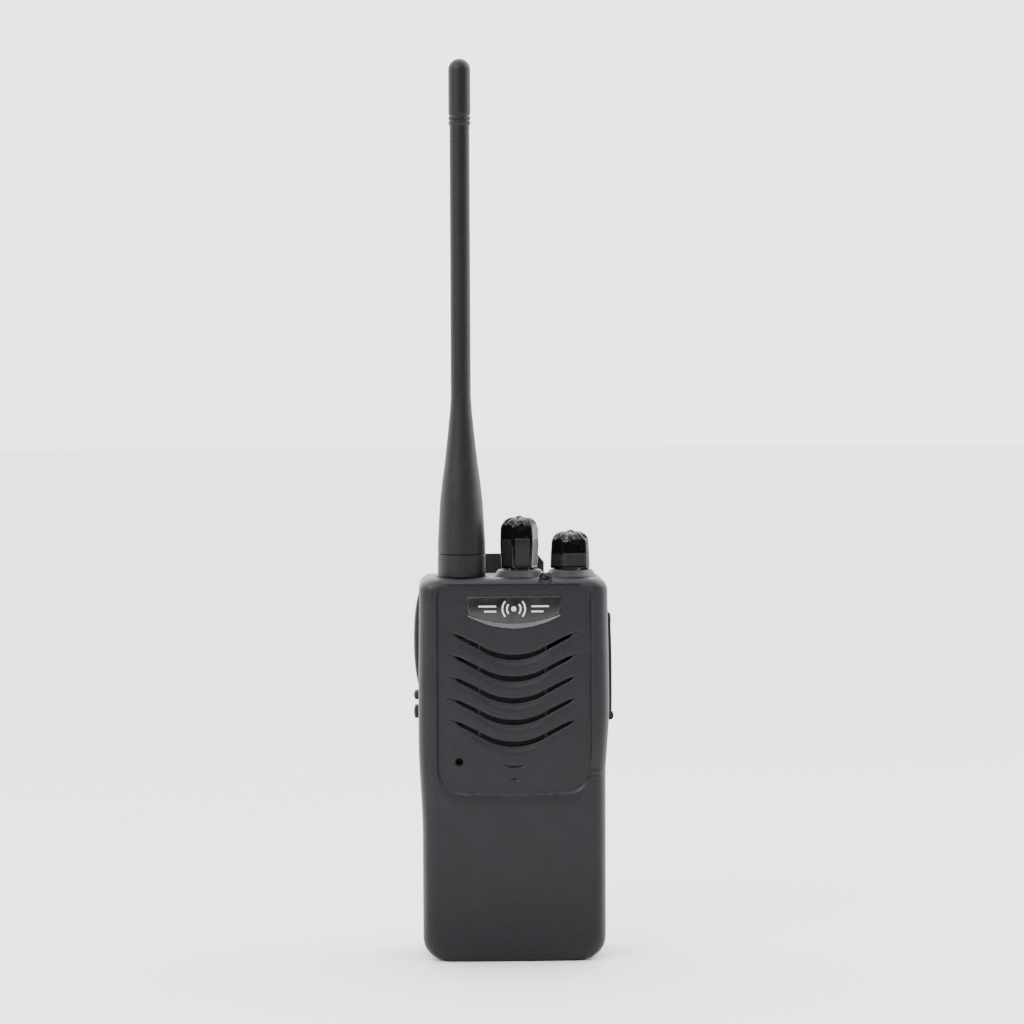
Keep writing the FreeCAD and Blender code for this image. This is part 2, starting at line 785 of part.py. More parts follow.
FLANGE_OUT = -25.2
FLANGE_IN = -24.5


def side_key(name, half, low, high, out, corner):
    """A key in the left wall: the part that a finger presses, and the lip that keeps it in."""
    body = new_body(name)
    side = size("side_y")
    face = new_sketch(body, name + "_face", "YZ_Plane", out)
    draw_rectangle(face, side - half, low, side + half, high)
    pad(body, face, FLANGE_OUT - as_size(out))
    round_edges(body, name + "_corners", corner, lambda e: runs_along(e, X_AXIS))
    outer = as_size(out).value
    round_edges(body, name + "_round", 0.6, lambda e: e.BoundBox.XMax < outer + 0.01)
    lip = new_sketch(body, name + "_lip", "YZ_Plane", FLANGE_OUT)
    draw_rectangle(lip, side - half - 0.3, low - 0.5, side + half + 0.3, high + 0.5)
    pad(body, lip, FLANGE_IN - FLANGE_OUT)
    return keep(body)


def make_side_keys():
    """The talk bar, the two keys under it and the switch strip that they press."""
    side = size("side_y")
    outer = -size("case_half_high") - size("ptt_out")
    side_key("ptt_button", size("side_half"), size("ptt_low"), size("ptt_top"), outer, 1.6)
    for name, (low, high) in KEYS.items():
        side_key(name, 3.0, as_size(low), as_size(high), outer - 0.1, 1.2)
    keep(block("side_board", -22.2, -21.6, side - 3.6, side + 3.4, 68.0, 104.0))
    domes = []
    for number, z in enumerate((98.0, 86.0, 77.8, 72.6), start=1):
        domes.append(rod(f"switch_{number}", -23.3, side, z, 1.7, 1.1, axis="X"))
    keep(joined("side_switches", domes))


def make_jacks():
    """The two-socket block in the right wall, its hinged cover and the cover's pin."""
    side = size("side_y")
    shell = block("jack_shell", 12.8, 27.3, side - 3.5, side + 3.5,
                  size("jack_small_z") - 5.5, size("jack_big_z") + 5.5)
    bores = [rod("jack_big", 13.6, side, size("jack_big_z"), size("jack_big_r"), 20, axis="X"),
             rod("jack_small", 13.6, side, size("jack_small_z"), size("jack_small_r"), 20, axis="X")]
    keep(cut_away("jack_block", shell, bores))
    body = new_body("jack_cover")
    half = size("side_half")
    plate = new_sketch(body, "cover_plate", "YZ_Plane", 27.95)
    draw_rectangle(plate, side - half, size("hinge_z"), side + half, size("cover_top"))
    pad(body, plate, 0.95)
    high = size("cover_top").value
    round_edges(body, "cover_corners", 1.4, lambda e: runs_along(e, X_AXIS) and e.CenterOfMass.z > high - 1)
    lip = new_sketch(body, "cover_lip", "YZ_Plane", 28.7)
    lip_high = size("cover_top")
    draw_rectangle(lip, side - half + 1.6, lip_high - 2.9, side + half - 1.6, lip_high - 0.3)
    pad(body, lip, 0.6)
    barrel = new_sketch(body, "cover_barrel", "XZ_Plane", -(side + half))
    draw_circle(barrel, size("hinge_x"), size("hinge_z"), size("hinge_r"))
    pad(body, barrel, 2 * half)
    bore = new_sketch(body, "cover_bore", "XZ_Plane", -(side + half + 0.5))
    draw_circle(bore, size("hinge_x"), size("hinge_z"), 0.55)
    pocket(body, bore, 2 * half + 1.5, back=True)
    keep(body)
    pin_start = side - half - 1.85
    keep(rod("jack_cover_pin", size("hinge_x"), pin_start, size("hinge_z"), 0.5, 2 * half + 3.7, axis="Y"))


# ---------------------------------------------------------------- electronics

def make_boards():
    """The main board with its shield cans and chips, and the battery terminals."""
    y = size("board_y")
    keep(block("main_board", -19.3, 19.3, y, y + size("board_thick"), 6.0, 101.8))
    keep(block("shield_can_rf", -17.0, 8.0, y - 2.2, y, 66.0, 98.0))
    keep(block("shield_can_logic", -17.0, 17.0, y - 2.2, y, 14.0, 46.0))
    chips = [block("chip_1", -14, -6, y - 1.2, y, 50, 58), block("chip_2", -2, 4, y - 1.0, y, 50, 56),
             block("chip_3", 8, 15, y - 1.4, y, 52, 62)]
    keep(joined("board_chips", chips))
    holder = block("terminal_holder", -9, 9, y + size("board_thick") + 0.05, 3.95, 74, 80)
    xs = (-6.0, 0.0, 6.0)
    bores = [rod(f"terminal_hole_{i}", x, 0, 77, 1.1, 6, axis="Y") for i, x in enumerate(xs)]
    keep(cut_away("terminal_block", holder, bores))
    pins = [rod(f"terminal_{i}", x, 1.3, 77, 1.08, 2.85, axis="Y") for i, x in enumerate(xs)]
    keep(joined("radio_terminals", pins))


# ---------------------------------------------------------------- chassis and its gasket

HOOK_X = 17.5
HOOK_Z = (16.0, 56.0)
HOOK_HIGH = 8.0
HOOK_TRAVEL = 9.0


def make_gasket():
    """The rubber ring between the case rim and the chassis."""
    body = new_body("case_gasket")
    ring = new_sketch(body, "gasket_ring", "XZ_Plane", -3.4)
    draw_outline(ring, case_outline(size("case_wall") + 0.05))
    pad(body, ring, 1.2)
    inner = new_sketch(body, "gasket_inside", "XZ_Plane", -3.6)
    draw_outline(inner, case_outline(size("case_wall") + 0.6))
    pocket(body, inner, 1.6, back=True)
    return keep(body)


def make_chassis():
    """The cast rear frame: a plate inside the case rim and a thick block above the battery."""
    body = new_body("rear_chassis")
    back = size("chassis_back")
    start = size("case_back")
    low = size("battery_top") + 0.4
    half_low = size("case_half_high") - 0.15
    upper = new_sketch(body, "chassis_block", "XZ_Plane", -back)
    draw_outline(upper, [(-half_low, low), (half_low, low), (size("case_half_top"), size("case_high")),
                         (-size("case_half_top"), size("case_high"))])
    pad(body, upper, back - start)
    high = size("case_high").value
    round_edges(body, "chassis_corners", size("top_corner"),
                lambda e: runs_along(e, Y_AXIS) and e.CenterOfMass.z > high - 1)
    rear = back.value
    bottom = low.value
    round_edges(body, "chassis_round", 2.2,
                lambda e: e.BoundBox.YMin > rear - 0.01 and e.BoundBox.ZMax > bottom + 0.1)
    plate = new_sketch(body, "chassis_plate", "XZ_Plane", -(start + 0.05))
    draw_outline(plate, case_outline(size("case_wall") + 0.65))
    pad(body, plate, start + 0.05 - size("chassis_front"))
    hollow = new_sketch(body, "chassis_hollow", "XZ_Plane", -size("chassis_front"))
    draw_rectangle(hollow, -21.0, low + 2.4, 21.0, size("case_high") - 4.6)
    pocket(body, hollow, back - size("chassis_front") - 3.0, back=False)
    window = new_sketch(body, "terminal_window", "XZ_Plane", -size("chassis_front"))
    draw_rectangle(window, -9.05, 73.95, 9.05, 80.05)
    pocket(body, window, 3, back=False)
    for number, (x, z) in enumerate(POSTS, start=1):
        hole = new_sketch(body, f"chassis_hole_{number}", "XZ_Plane", -size("chassis_front"))
        draw_circle(hole, x, z, 1.1)
        pocket(body, hole, 3, back=False)
        sink = new_sketch(body, f"chassis_sink_{number}", "XZ_Plane", -(start + 0.1))
        draw_circle(sink, x, z, 1.95)
        pocket(body, sink, 1.4, back=True)
    for number, x in enumerate((-CLIP_SCREW_X, CLIP_SCREW_X), start=1):
        hole = new_sketch(body, f"clip_hole_{number}", "XZ_Plane", -back)
        draw_circle(hole, x, CLIP_SCREW_Z, 1.5)
        pocket(body, hole, 2.9, back=True)
    for z in HOOK_Z:
        for x in (-HOOK_X, HOOK_X):
            stem = new_sketch(body, "hook_stem", "XZ_Plane", -5.5)
            draw_rectangle(stem, x - 1.2, z, x + 1.2, z + HOOK_HIGH)
            pad(body, stem, 1.5)
            head = new_sketch(body, "hook_head", "XZ_Plane", -6.6)
            draw_rectangle(head, x - 2.4, z, x + 2.4, z + HOOK_HIGH)
            pad(body, head, 1.2)
    return keep(body)


CLIP_SCREW_X = 5.0
CLIP_SCREW_Z = 92.5


# ---------------------------------------------------------------- battery pack

def battery_outline(inset=0):
    """The battery pack seen from the front, a little smaller than the case."""
    half_low = size("case_half_low") - 0.3 - inset
    half_high = size("case_half_high") - 0.4 - inset
    low = size("battery_low") + inset
    right = [(half_low, low), (half_low, size("case_flare_start")), (half_high, size("case_flare_end")),
             (half_high, size("battery_top") - inset)]
    return right + [(-x, z) for x, z in reversed(right)]


def battery_shell(name, front, rear):
    """One half of the pack's housing, from y = front to y = rear, with its rounded foot corners."""
    body = new_body(name)
    outline = new_sketch(body, name + "_outline", "XZ_Plane", -rear)
    draw_outline(outline, battery_outline())
    pad(body, outline, rear - front)
    round_edges(body, name + "_feet", size("foot_corner"),
                lambda e: runs_along(e, Y_AXIS) and e.CenterOfMass.z < 1)
    return body


def make_battery():
    """The pack: a guide plate that hooks onto the chassis, a tub, two cells, a board and contacts."""
    front = size("case_back") + 0.2
    split = size("battery_split")
    rear = size("battery_back")
    inner = battery_shell("battery_inner_case", front, split)
    for z in HOOK_Z:
        for x in (-HOOK_X, HOOK_X):
            neck = new_sketch(inner, "guide_neck", "XZ_Plane", -front)
            draw_rectangle(neck, x - 1.5, z - 0.3, x + 1.5, z + HOOK_HIGH + 0.3)
            pocket(inner, neck, 1.0)
            wide = new_sketch(inner, "guide_mouth", "XZ_Plane", -front)
            draw_rectangle(wide, x - 2.7, z + HOOK_HIGH + 0.2, x + 2.7, z + HOOK_HIGH + HOOK_TRAVEL + 0.4)
            pocket(inner, wide, 2.7)
            under = new_sketch(inner, "guide_under", "XZ_Plane", -(front + 0.95))
            draw_rectangle(under, x - 2.7, z - 0.3, x + 2.7, z + HOOK_HIGH + HOOK_TRAVEL + 0.4)
            pocket(inner, under, 1.75)
    seats = new_sketch(inner, "contact_seats", "XZ_Plane", -front)
    for x in (-6.0, 0.0, 6.0):
        draw_rectangle(seats, x - 1.6, 74.9, x + 1.6, 79.1)
    pocket(inner, seats, 0.5)
    keeper = new_sketch(inner, "latch_keeper", "XZ_Plane", -front)
    draw_rectangle(keeper, -6.5, size("battery_low") - 1, 6.5, 2.3)
    pocket(inner, keeper, 1.6)
    keep(inner)
    contacts = [block(f"contact_{i}", as_size(x) - 1.5, x + 1.5, front + 0.02, front + 0.48, 75.0, 79.0)
                for i, x in enumerate((-6.0, 0.0, 6.0))]
    keep(joined("battery_contacts", contacts))

    outer = battery_shell("battery_outer_case", split, rear)
    back = rear.value
    round_edges(outer, "battery_round", 2.6,
                lambda e: e.BoundBox.YMin > back - 0.01)
    hollow = new_sketch(outer, "battery_hollow", "XZ_Plane", -split)
    draw_outline(hollow, battery_outline(1.7))
    pocket(outer, hollow, rear - split - 1.6)
    pads = new_sketch(outer, "charge_seats", "XZ_Plane", -rear)
    for x in (-8.0, 8.0):
        draw_circle(pads, x, 11.0, 2.1)
    pocket(outer, pads, 0.9, back=True)
    keep(outer)
    keep(joined("charge_contacts", [rod(f"charge_{i}", x, rear - 0.85, 11.0, 2.05, 0.8, axis="Y")
                                    for i, x in enumerate((-8.0, 8.0))]))
    cells = [block("cell_low", -23, 23, split + 0.15, split + 6.8, 8.5, 40.5),
             block("cell_high", -23, 23, split + 0.15, split + 6.8, 41.5, 73.5)]
    keep(joined("battery_cells", cells))
    keep(block("battery_board", -20, 20, split + 1.0, split + 1.8, 75.0, 80.5))


# ---------------------------------------------------------------- latch on the base

def make_latch():
    """The sliding latch in the base that holds the battery pack on."""
    body = new_body("battery_latch")
    tongue = new_sketch(body, "latch_tongue", "XY_Plane", 0)
    draw_outline(tongue, [(-9, -3.2), (9, -3.2), (9, 2.6), (5.5, 4.1), (-5.5, 4.1), (-9, 2.6)])
    pad(body, tongue, 1.95)
    neck = new_sketch(body, "latch_neck", "XY_Plane", 1.9)
    draw_rectangle(neck, -9, -2.6, 9, 1.1)
    pad(body, neck, 0.4)
    flange = new_sketch(body, "latch_flange", "XY_Plane", 2.15)
    draw_rectangle(flange, -10.2, -2.6, 10.2, 1.1)
    pad(body, flange, 0.8)
    grip = new_sketch(body, "latch_grip", "XY_Plane", 0)
    for y in (-2.8, -2.0, -1.2):
        draw_rectangle(grip, -6, y, 6, y + 0.4)
    pocket(body, grip, 0.3, back=True)
    return keep(body)


# ---------------------------------------------------------------- belt clip

def make_clip():
    """The bracket on the chassis, the sprung arm, its pin and its spring."""
    y = size("clip_y")
    z = size("clip_z")
    back = size("chassis_back")
    bracket = new_body("clip_bracket")
    base = new_sketch(bracket, "bracket_base", "XZ_Plane", -(back + 1.5))
    draw_rectangle(base, -9.5, 89.0, 9.5, 108.0)
    pad(bracket, base, 1.5)
    for name, start in (("left", -8.5), ("right", 6.5)):
        ear = new_sketch(bracket, f"ear_{name}", "YZ_Plane", start)
        draw_outline(ear, [(back + 1.0, z - 3.2), (y, z - 2.2), (y, z + 2.2), (back + 1.0, z + 3.2)],
                     arcs={1: (2.2001, -1)})
        pad(bracket, ear, 2.0)
    bore = new_sketch(bracket, "bracket_bore", "YZ_Plane", -9.0)
    draw_circle(bore, y, z, size("clip_pin_r"))
    pocket(bracket, bore, 18, back=True)
    screws = new_sketch(bracket, "bracket_screws", "XZ_Plane", -(back + 1.5))
    for x in (-CLIP_SCREW_X, CLIP_SCREW_X):
        draw_circle(screws, x, CLIP_SCREW_Z, 1.6)
    pocket(bracket, screws, 2, back=True)
    keep(bracket)
    make_clip_arm(y, z)
    keep(rod("clip_pin", -size("clip_half"), y, z, size("clip_pin_r"), 2 * size("clip_half"), axis="X"))
    keep(clip_spring(y, z))


def make_clip_arm(y, z):
    """The arm: lever above the pin, a long tongue below it and a lip that hooks over the belt."""
    arm = new_body("clip_arm")
    inner = size("clip_arm_y")
    outer = inner + size("clip_thick")
    low = size("clip_low")
    top = size("clip_top")
    half = size("clip_half")
    side_view = new_sketch(arm, "arm_side", "YZ_Plane", -half)
    draw_outline(side_view, [(inner, low + 6), (inner - 3.2, low + 1.2), (inner - 2.4, low),
                             (outer - 1.2, low + 2.2), (outer, low + 6), (outer, top - 7),
                             (outer + 0.8, top - 1), (outer, top), (inner + 0.1, top), (inner, top - 7)])
    pad(arm, side_view, 2 * half)
    trim = new_sketch(arm, "arm_trim", "XZ_Plane", -(outer + 3))
    for sign in (-1, 1):
        points = [(sign * half, z - 8), (sign * (half - 1.8), low - 1), (sign * (half + 1), low - 1),
                  (sign * (half + 1), z - 8)]
        draw_outline(trim, points)
        corner = [(sign * (half - 2.1), top + 1), (sign * (half - 2.1), top), (sign * half, top - 2.6),
                  (sign * (half + 1), top - 2.6), (sign * (half + 1), top + 1)]
        draw_outline(trim, corner)
    pocket(arm, trim, 10, back=True)
    for name, start in (("left", -half), ("right", half - 1.5)):
        cheek = new_sketch(arm, f"cheek_{name}", "YZ_Plane", start)
        draw_outline(cheek, [(inner + 0.5, z - 5), (inner + 0.5, z + 5), (y, z + 2.4), (y, z - 2.4)],
                     arcs={2: (2.4001, -1)})
        pad(arm, cheek, 1.5)
    bore = new_sketch(arm, "arm_bore", "YZ_Plane", -half - 1)
    draw_circle(bore, y, z, size("clip_pin_r") + size("run_gap"))
    pocket(arm, bore, 2 * half + 2, back=True)
    return keep(arm)


def clip_spring(y, z):
    """A torsion spring round the pin: a coil with one leg along the arm and one along the bracket."""
    wire = 0.4
    coil_r = size("clip_pin_r").value + 0.75
    turns, pitch = 9, 1.15
    helix = Part.makeHelix(pitch, turns * pitch, coil_r)
    start = helix.Vertexes[0].Point
    section = Part.Wire(Part.Circle(start, V(0, 1, pitch / (2 * math.pi * coil_r)), wire).toShape())
    coil = Part.Wire(helix).makePipeShell([section], True, True)
    coil.rotate(V(0, 0, 0), V(0, 1, 0), 90)
    made = doc.addObject("Part::Feature", "clip_spring")
    made.Label = "clip_spring"
    made.Shape = coil
    return place_only(made, -turns * pitch / 2, y, z)


# ---------------------------------------------------------------- screws

def make_screw(name, x, y, z, shank_r, length, head_r, head_high):
    """A screw along Y: its head at the +Y end, a cross recess in the head and a plain shank."""
    shank = rod(name + "_shank", x, as_size(y) - length, z, shank_r, length, axis="Y")
    head = rod(name + "_head", x, y, z, head_r, head_high, axis="Y")
    solid = joined(name + "_solid", [shank, head])
    deep = 0.6
    face = as_size(y) + head_high
    cross = [block(f"{name}_cross_{i}", x - dx, x + dx, face - deep, face + 1, z - dz, z + dz)
             for i, (dx, dz) in enumerate(((0.22, 0.95), (0.95, 0.22)))]
    return cut_away(name, solid, cross)


def make_screws():
    """Four case screws and the belt clip's two."""
    start = size("case_back") + 0.05
    case = [make_screw(f"case_screw_{i}", as_size(x), start - 1.35, as_size(z), 0.84, 8.5, 1.85, 1.25)
            for i, (x, z) in enumerate(POSTS)]
    keep(joined("case_screws", case))
    back = size("chassis_back") + 1.5
    clip = [make_screw(f"clip_screw_{i}", as_size(x), back, as_size(CLIP_SCREW_Z), 1.48, 4.2, 2.7, 1.3)
            for i, x in enumerate((-CLIP_SCREW_X, CLIP_SCREW_X))]
    keep(joined("clip_screws", clip))


# ---------------------------------------------------------------- the whole radio

def make_everything():
    """Every node, then the checks and the files."""
    make_front_case()
    make_badge()
    make_led()
    make_speaker()
    make_microphone()
    make_knob_group("channel", 5.6, 7.5, 114.3, 129.8, 5.2, 5.85, 122.5, 9)
    make_knob_group("volume", 5.2, 6.5, 114.3, 125.6, 6.0, 5.9, 117.0, 9)
    make_antenna()
    make_side_keys()
    make_jacks()
    make_boards()
    make_gasket()
    make_chassis()
    make_battery()
    make_latch()
    make_clip()
    make_screws()
    doc.recompute()


def check_everything():
    """Stops if any object failed or any node's shape is missing or broken."""
    for obj in doc.Objects:
        if "Invalid" in obj.State or "Error" in obj.State:
            raise RuntimeError(f"{obj.Name} failed: {obj.State}")
    for node in nodes:
        if node.Shape.isNull() or not node.Shape.isValid():
            raise RuntimeError(f"{node.Label} has no sound shape")


def write_everything():
    """One STEP file for each node."""
    os.makedirs("parts", exist_ok=True)
    for node in nodes:
        node.Shape.exportStep(os.path.join("parts", node.Label + ".step"))
        box = node.Shape.BoundBox
        print(f"{node.Label:20s} {len(node.Shape.Solids)} solid(s) {node.Shape.Volume:9.1f} mm3  "
              f"z {box.ZMin:.1f} to {box.ZMax:.1f}")


make_everything()
check_everything()
write_everything()
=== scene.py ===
import json
import math

import bmesh
import bpy
import numpy as np
from mathutils import Matrix, Vector


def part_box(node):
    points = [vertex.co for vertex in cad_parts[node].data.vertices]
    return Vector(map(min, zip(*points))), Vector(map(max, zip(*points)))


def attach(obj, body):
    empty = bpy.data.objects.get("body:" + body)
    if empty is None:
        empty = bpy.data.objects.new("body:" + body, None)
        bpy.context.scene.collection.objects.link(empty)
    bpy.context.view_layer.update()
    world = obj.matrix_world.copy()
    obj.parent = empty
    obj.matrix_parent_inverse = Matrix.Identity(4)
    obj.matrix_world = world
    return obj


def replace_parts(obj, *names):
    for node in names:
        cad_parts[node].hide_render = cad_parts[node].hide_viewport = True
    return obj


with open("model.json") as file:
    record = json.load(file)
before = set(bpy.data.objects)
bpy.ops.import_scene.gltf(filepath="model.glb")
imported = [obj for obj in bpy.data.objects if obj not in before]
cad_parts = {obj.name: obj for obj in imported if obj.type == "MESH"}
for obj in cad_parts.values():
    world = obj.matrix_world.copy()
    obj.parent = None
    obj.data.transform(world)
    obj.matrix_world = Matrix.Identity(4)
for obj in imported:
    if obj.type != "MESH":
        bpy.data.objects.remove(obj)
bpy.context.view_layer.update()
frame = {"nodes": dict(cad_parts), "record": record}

# Lengths in this script are in millimetres, in the CAD model's own frame. MM turns them into metres.
MM = 0.001
TAU = 2 * math.pi


def node_box(name):
    """The lowest and highest corners of a CAD node, in millimetres."""
    low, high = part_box(name)
    return np.array(low) / MM, np.array(high) / MM


def node_centre(name):
    """The middle of a CAD node's box, in millimetres."""
    low, high = node_box(name)
    return (low + high) / 2


# ---------------------------------------------------------------- sizes taken from the frame

case_low, case_high = node_box("front_case")
pack_low, pack_high = node_box("battery_outer_case")
CASE_FRONT = -case_low[1]
CASE_BACK = case_high[1]
DECK = node_box("rear_chassis")[1][2]
HALF_HIGH = -case_low[0]
HALF_LOW = HALF_HIGH - 1.1
HALF_TOP = HALF_HIGH - 0.4
LEFT_FLARE, RIGHT_FLARE = (36.0, 66.0), (52.0, 74.0)
STEM_Y = node_centre("channel_shaft")[1]
CHANNEL_X = node_centre("channel_shaft")[0]
VOLUME_X = node_centre("volume_shaft")[0]
ANTENNA_X = node_centre("antenna_contact")[0]
MIC = node_centre("mic_capsule")
SIDE_Y = node_centre("jack_block")[1]


# ---------------------------------------------------------------- mesh helpers

def make_piece(name, points, faces, body, materials, sharp=40.0, face_slots=None):
    """A smooth-shaded mesh piece from millimetre points, riding on a body."""
    mesh = bpy.data.meshes.new(name)
    mesh.from_pydata([tuple(p * MM for p in point) for point in points], [], faces)
    mesh.update()
    for material in materials:
        mesh.materials.append(material)
    if face_slots is not None:
        mesh.polygons.foreach_set("material_index", np.asarray(face_slots, dtype=np.int32))
    piece = bpy.data.objects.new(name, mesh)
    bpy.context.scene.collection.objects.link(piece)
    tidy_mesh(piece, sharp)
    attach(piece, body)
    return piece


def tidy_mesh(piece, sharp=40.0):
    """Merges doubled points, turns every face outwards and smooths across all but sharp edges."""
    work = bmesh.new()
    work.from_mesh(piece.data)
    bmesh.ops.remove_doubles(work, verts=work.verts, dist=2e-6)
    bmesh.ops.dissolve_degenerate(work, edges=work.edges, dist=1e-6)
    bmesh.ops.recalc_face_normals(work, faces=work.faces)
    work.to_mesh(piece.data)
    work.free()
    piece.data.shade_smooth()
    piece.data.set_sharp_from_angle(angle=math.radians(sharp))


def grid_faces(rows, columns, wrap=False):
    """Quads over a grid of points stored row by row. wrap joins the last column to the first."""
    last = columns if wrap else columns - 1
    return [(r * columns + c, r * columns + (c + 1) % columns,
             (r + 1) * columns + (c + 1) % columns, (r + 1) * columns + c)
            for r in range(rows - 1) for c in range(last)]


def capped_faces(rows, count):
    """Quads over closed rings stored one after another, with a face over the first and the last ring."""
    faces = grid_faces(rows, count, wrap=True)
    return faces + [tuple(range(count)), tuple(range((rows - 1) * count, rows * count))]


def turned_points(section, x, y, steps):
    """The points of a form turned about an upright axis at (x, y). section is (radius, height) pairs."""
    angles = np.linspace(0, TAU, steps, endpoint=False)
    return [(x + r * math.cos(a), y + r * math.sin(a), z) for r, z in section for a in angles]


def rounded_turn(corners, radius=0.3, steps=4):
    """(radius, height) corners of a section with each inner corner rounded by a small curve."""
    corners = [np.array(c, float) for c in corners]
    line = [corners[0]]
    for before, at, after in zip(corners, corners[1:], corners[2:]):
        reach = min(radius, 0.45 * np.linalg.norm(at - before), 0.45 * np.linalg.norm(after - at))
        start = at + (before - at) / np.linalg.norm(before - at) * reach
        stop = at + (after - at) / np.linalg.norm(after - at) * reach
        for share in np.linspace(0, 1, steps):
            line.append((1 - share) ** 2 * start + 2 * share * (1 - share) * at + share ** 2 * stop)
    line.append(corners[-1])
    return line


def apply_modifiers(piece):
    """Bakes a piece's modifiers into its mesh."""
    depsgraph = bpy.context.evaluated_depsgraph_get()
    mesh = bpy.data.meshes.new_from_object(piece.evaluated_get(depsgraph))
    piece.modifiers.clear()
    piece.data = mesh


def carve(piece, cutters, operation="DIFFERENCE"):
    """Cuts each cutter out of a piece, or joins it on, then throws the cutters away."""
    for cutter in cutters:
        modifier = piece.modifiers.new("carve", "BOOLEAN")
        modifier.operation = operation
        modifier.solver = "EXACT"
        modifier.object = cutter
    bpy.context.view_layer.update()
    apply_modifiers(piece)
    for cutter in cutters:
        bpy.data.objects.remove(cutter)


def loose_mesh(name, points, faces):
    """A plain mesh object for cutting with, in millimetres."""
    mesh = bpy.data.meshes.new(name)
    mesh.from_pydata([tuple(p * MM for p in point) for point in points], [], faces)
    work = bmesh.new()
    work.from_mesh(mesh)
    bmesh.ops.recalc_face_normals(work, faces=work.faces)
    work.to_mesh(mesh)
    work.free()
    made = bpy.data.objects.new(name, mesh)
    bpy.context.scene.collection.objects.link(made)
    return made


def box_cutter(low, high, corner=0.0, axis=0):
    """A box for cutting with. Its edges along one axis are rounded by corner."""
    low, high = np.array(low, float), np.array(high, float)
    across = [i for i in range(3) if i != axis]
    outline = rounded_rectangle(low[across[0]], high[across[0]], low[across[1]], high[across[1]], corner)
    points = []
    for level in (low[axis], high[axis]):
        for a, b in outline:
            point = [0.0, 0.0, 0.0]
            point[axis], point[across[0]], point[across[1]] = level, a, b
            points.append(point)
    return loose_mesh("cutter", points, capped_faces(2, len(outline)))


def rounded_rectangle(x0, x1, y0, y1, corner, steps=6):
    """The corners of a rectangle, each replaced by an arc."""
    if corner <= 0:
        return [(x0, y0), (x1, y0), (x1, y1), (x0, y1)]
    outline = []
    for x, y, start in ((x1 - corner, y0 + corner, -90), (x1 - corner, y1 - corner, 0),
                        (x0 + corner, y1 - corner, 90), (x0 + corner, y0 + corner, 180)):
        for angle in np.radians(np.linspace(start, start + 90, steps)):
            outline.append((x + corner * math.cos(angle), y + corner * math.sin(angle)))
    return outline


def round_cutter(start, direction, length, radius, mouth=None, steps=48):
    """A cylinder for cutting with. mouth is (radius, depth) of a flared start."""
    start = Vector(start)
    turn = Vector(direction).to_track_quat("Z", "Y").to_matrix()
    rings = [(radius, 0.0), (radius, length)]
    if mouth is not None:
        rings = [(mouth[0], 0.0), (radius, mouth[1]), (radius, length)]
    points = []
    for ring_radius, along in rings:
        for angle in np.linspace(0, TAU, steps, endpoint=False):
            local = Vector((ring_radius * math.cos(angle), ring_radius * math.sin(angle), along))
            points.append(tuple(start + turn @ local))
    return loose_mesh("cutter", points, capped_faces(len(rings), steps))


def smooth_step(value, low, high):
    """0 below low, 1 above high and an even S between."""
    share = np.clip((value - low) / (high - low), 0, 1)
    return share * share * (3 - 2 * share)


def sag(radius, along):
    """How far an arc of this radius has dropped from its tangent, along being how far it has run."""
    along = np.clip(along, 0, radius)
    return radius - np.sqrt(radius ** 2 - along ** 2)


# ---------------------------------------------------------------- materials

def new_material(name, colour, roughness, metal=0.0, **settings):
    """A Principled material. settings name other sockets, with _ for spaces."""
    material = bpy.data.materials.new(name)
    material.use_nodes = True
    shader = material.node_tree.nodes["Principled BSDF"]
    shader.inputs["Base Color"].default_value = (*colour, 1.0)
    shader.inputs["Roughness"].default_value = roughness
    shader.inputs["Metallic"].default_value = metal
    for key, value in settings.items():
        shader.inputs[key.replace("_", " ")].default_value = value
    return material


def fill(material, socket, value):
    """Links an output to a socket, or gives the socket a plain value."""
    if hasattr(value, "is_output"):
        material.node_tree.links.new(value, socket)
    else:
        socket.default_value = value


def add_node(material, kind, **inputs):
    """A shader node with the given input values or links. _ stands for a space in an input's name."""
    node = material.node_tree.nodes.new(kind)
    for key, value in inputs.items():
        fill(material, node.inputs[key.replace("_", " ")], value)
    return node


def object_place(material):
    """The shaded point's place in its object's own frame."""
    return add_node(material, "ShaderNodeTexCoord").outputs["Object"]


def object_noise(material, scale, detail=3.0, stretch=(1.0, 1.0, 1.0), offset=0.0):
    """A noise output in object space. scale is in cycles per metre."""
    mapping = add_node(material, "ShaderNodeMapping", Vector=object_place(material), Scale=stretch,
                       Location=(offset, offset * 0.7, offset * 0.4))
    noise = add_node(material, "ShaderNodeTexNoise", Vector=mapping.outputs[0], Scale=scale, Detail=detail)
    return noise.outputs["Fac"]


def ramp(material, factor, low, high, from_value=0.0, to_value=1.0):
    """Maps low..high of a factor to from_value..to_value, clamped."""
    node = add_node(material, "ShaderNodeMapRange", Value=factor, From_Min=low, From_Max=high,
                    To_Min=from_value, To_Max=to_value)
    return node.outputs["Result"]


def mixed_colour(material, factor, first, second):
    """A colour between two others. Each is a plain colour or a link."""
    node = material.node_tree.nodes.new("ShaderNodeMix")
    node.data_type = "RGBA"
    colours = [socket for socket in node.inputs if socket.type == "RGBA"]
    fill(material, node.inputs["Factor"], factor)
    for socket, value in zip(colours, (first, second)):
        fill(material, socket, (*value, 1.0) if isinstance(value, tuple) else value)
    return next(socket for socket in node.outputs if socket.type == "RGBA")


def maths(material, operation, first, second):
    """A two-value maths node's output."""
    node = material.node_tree.nodes.new("ShaderNodeMath")
    node.operation = operation
    for socket, value in zip(node.inputs, (first, second)):
        fill(material, socket, value)
    return node.outputs[0]


def connect(material, output, socket_name):
    """Links an output to a socket of the material's shader."""
    shader = material.node_tree.nodes["Principled BSDF"]
    material.node_tree.links.new(output, shader.inputs[socket_name])


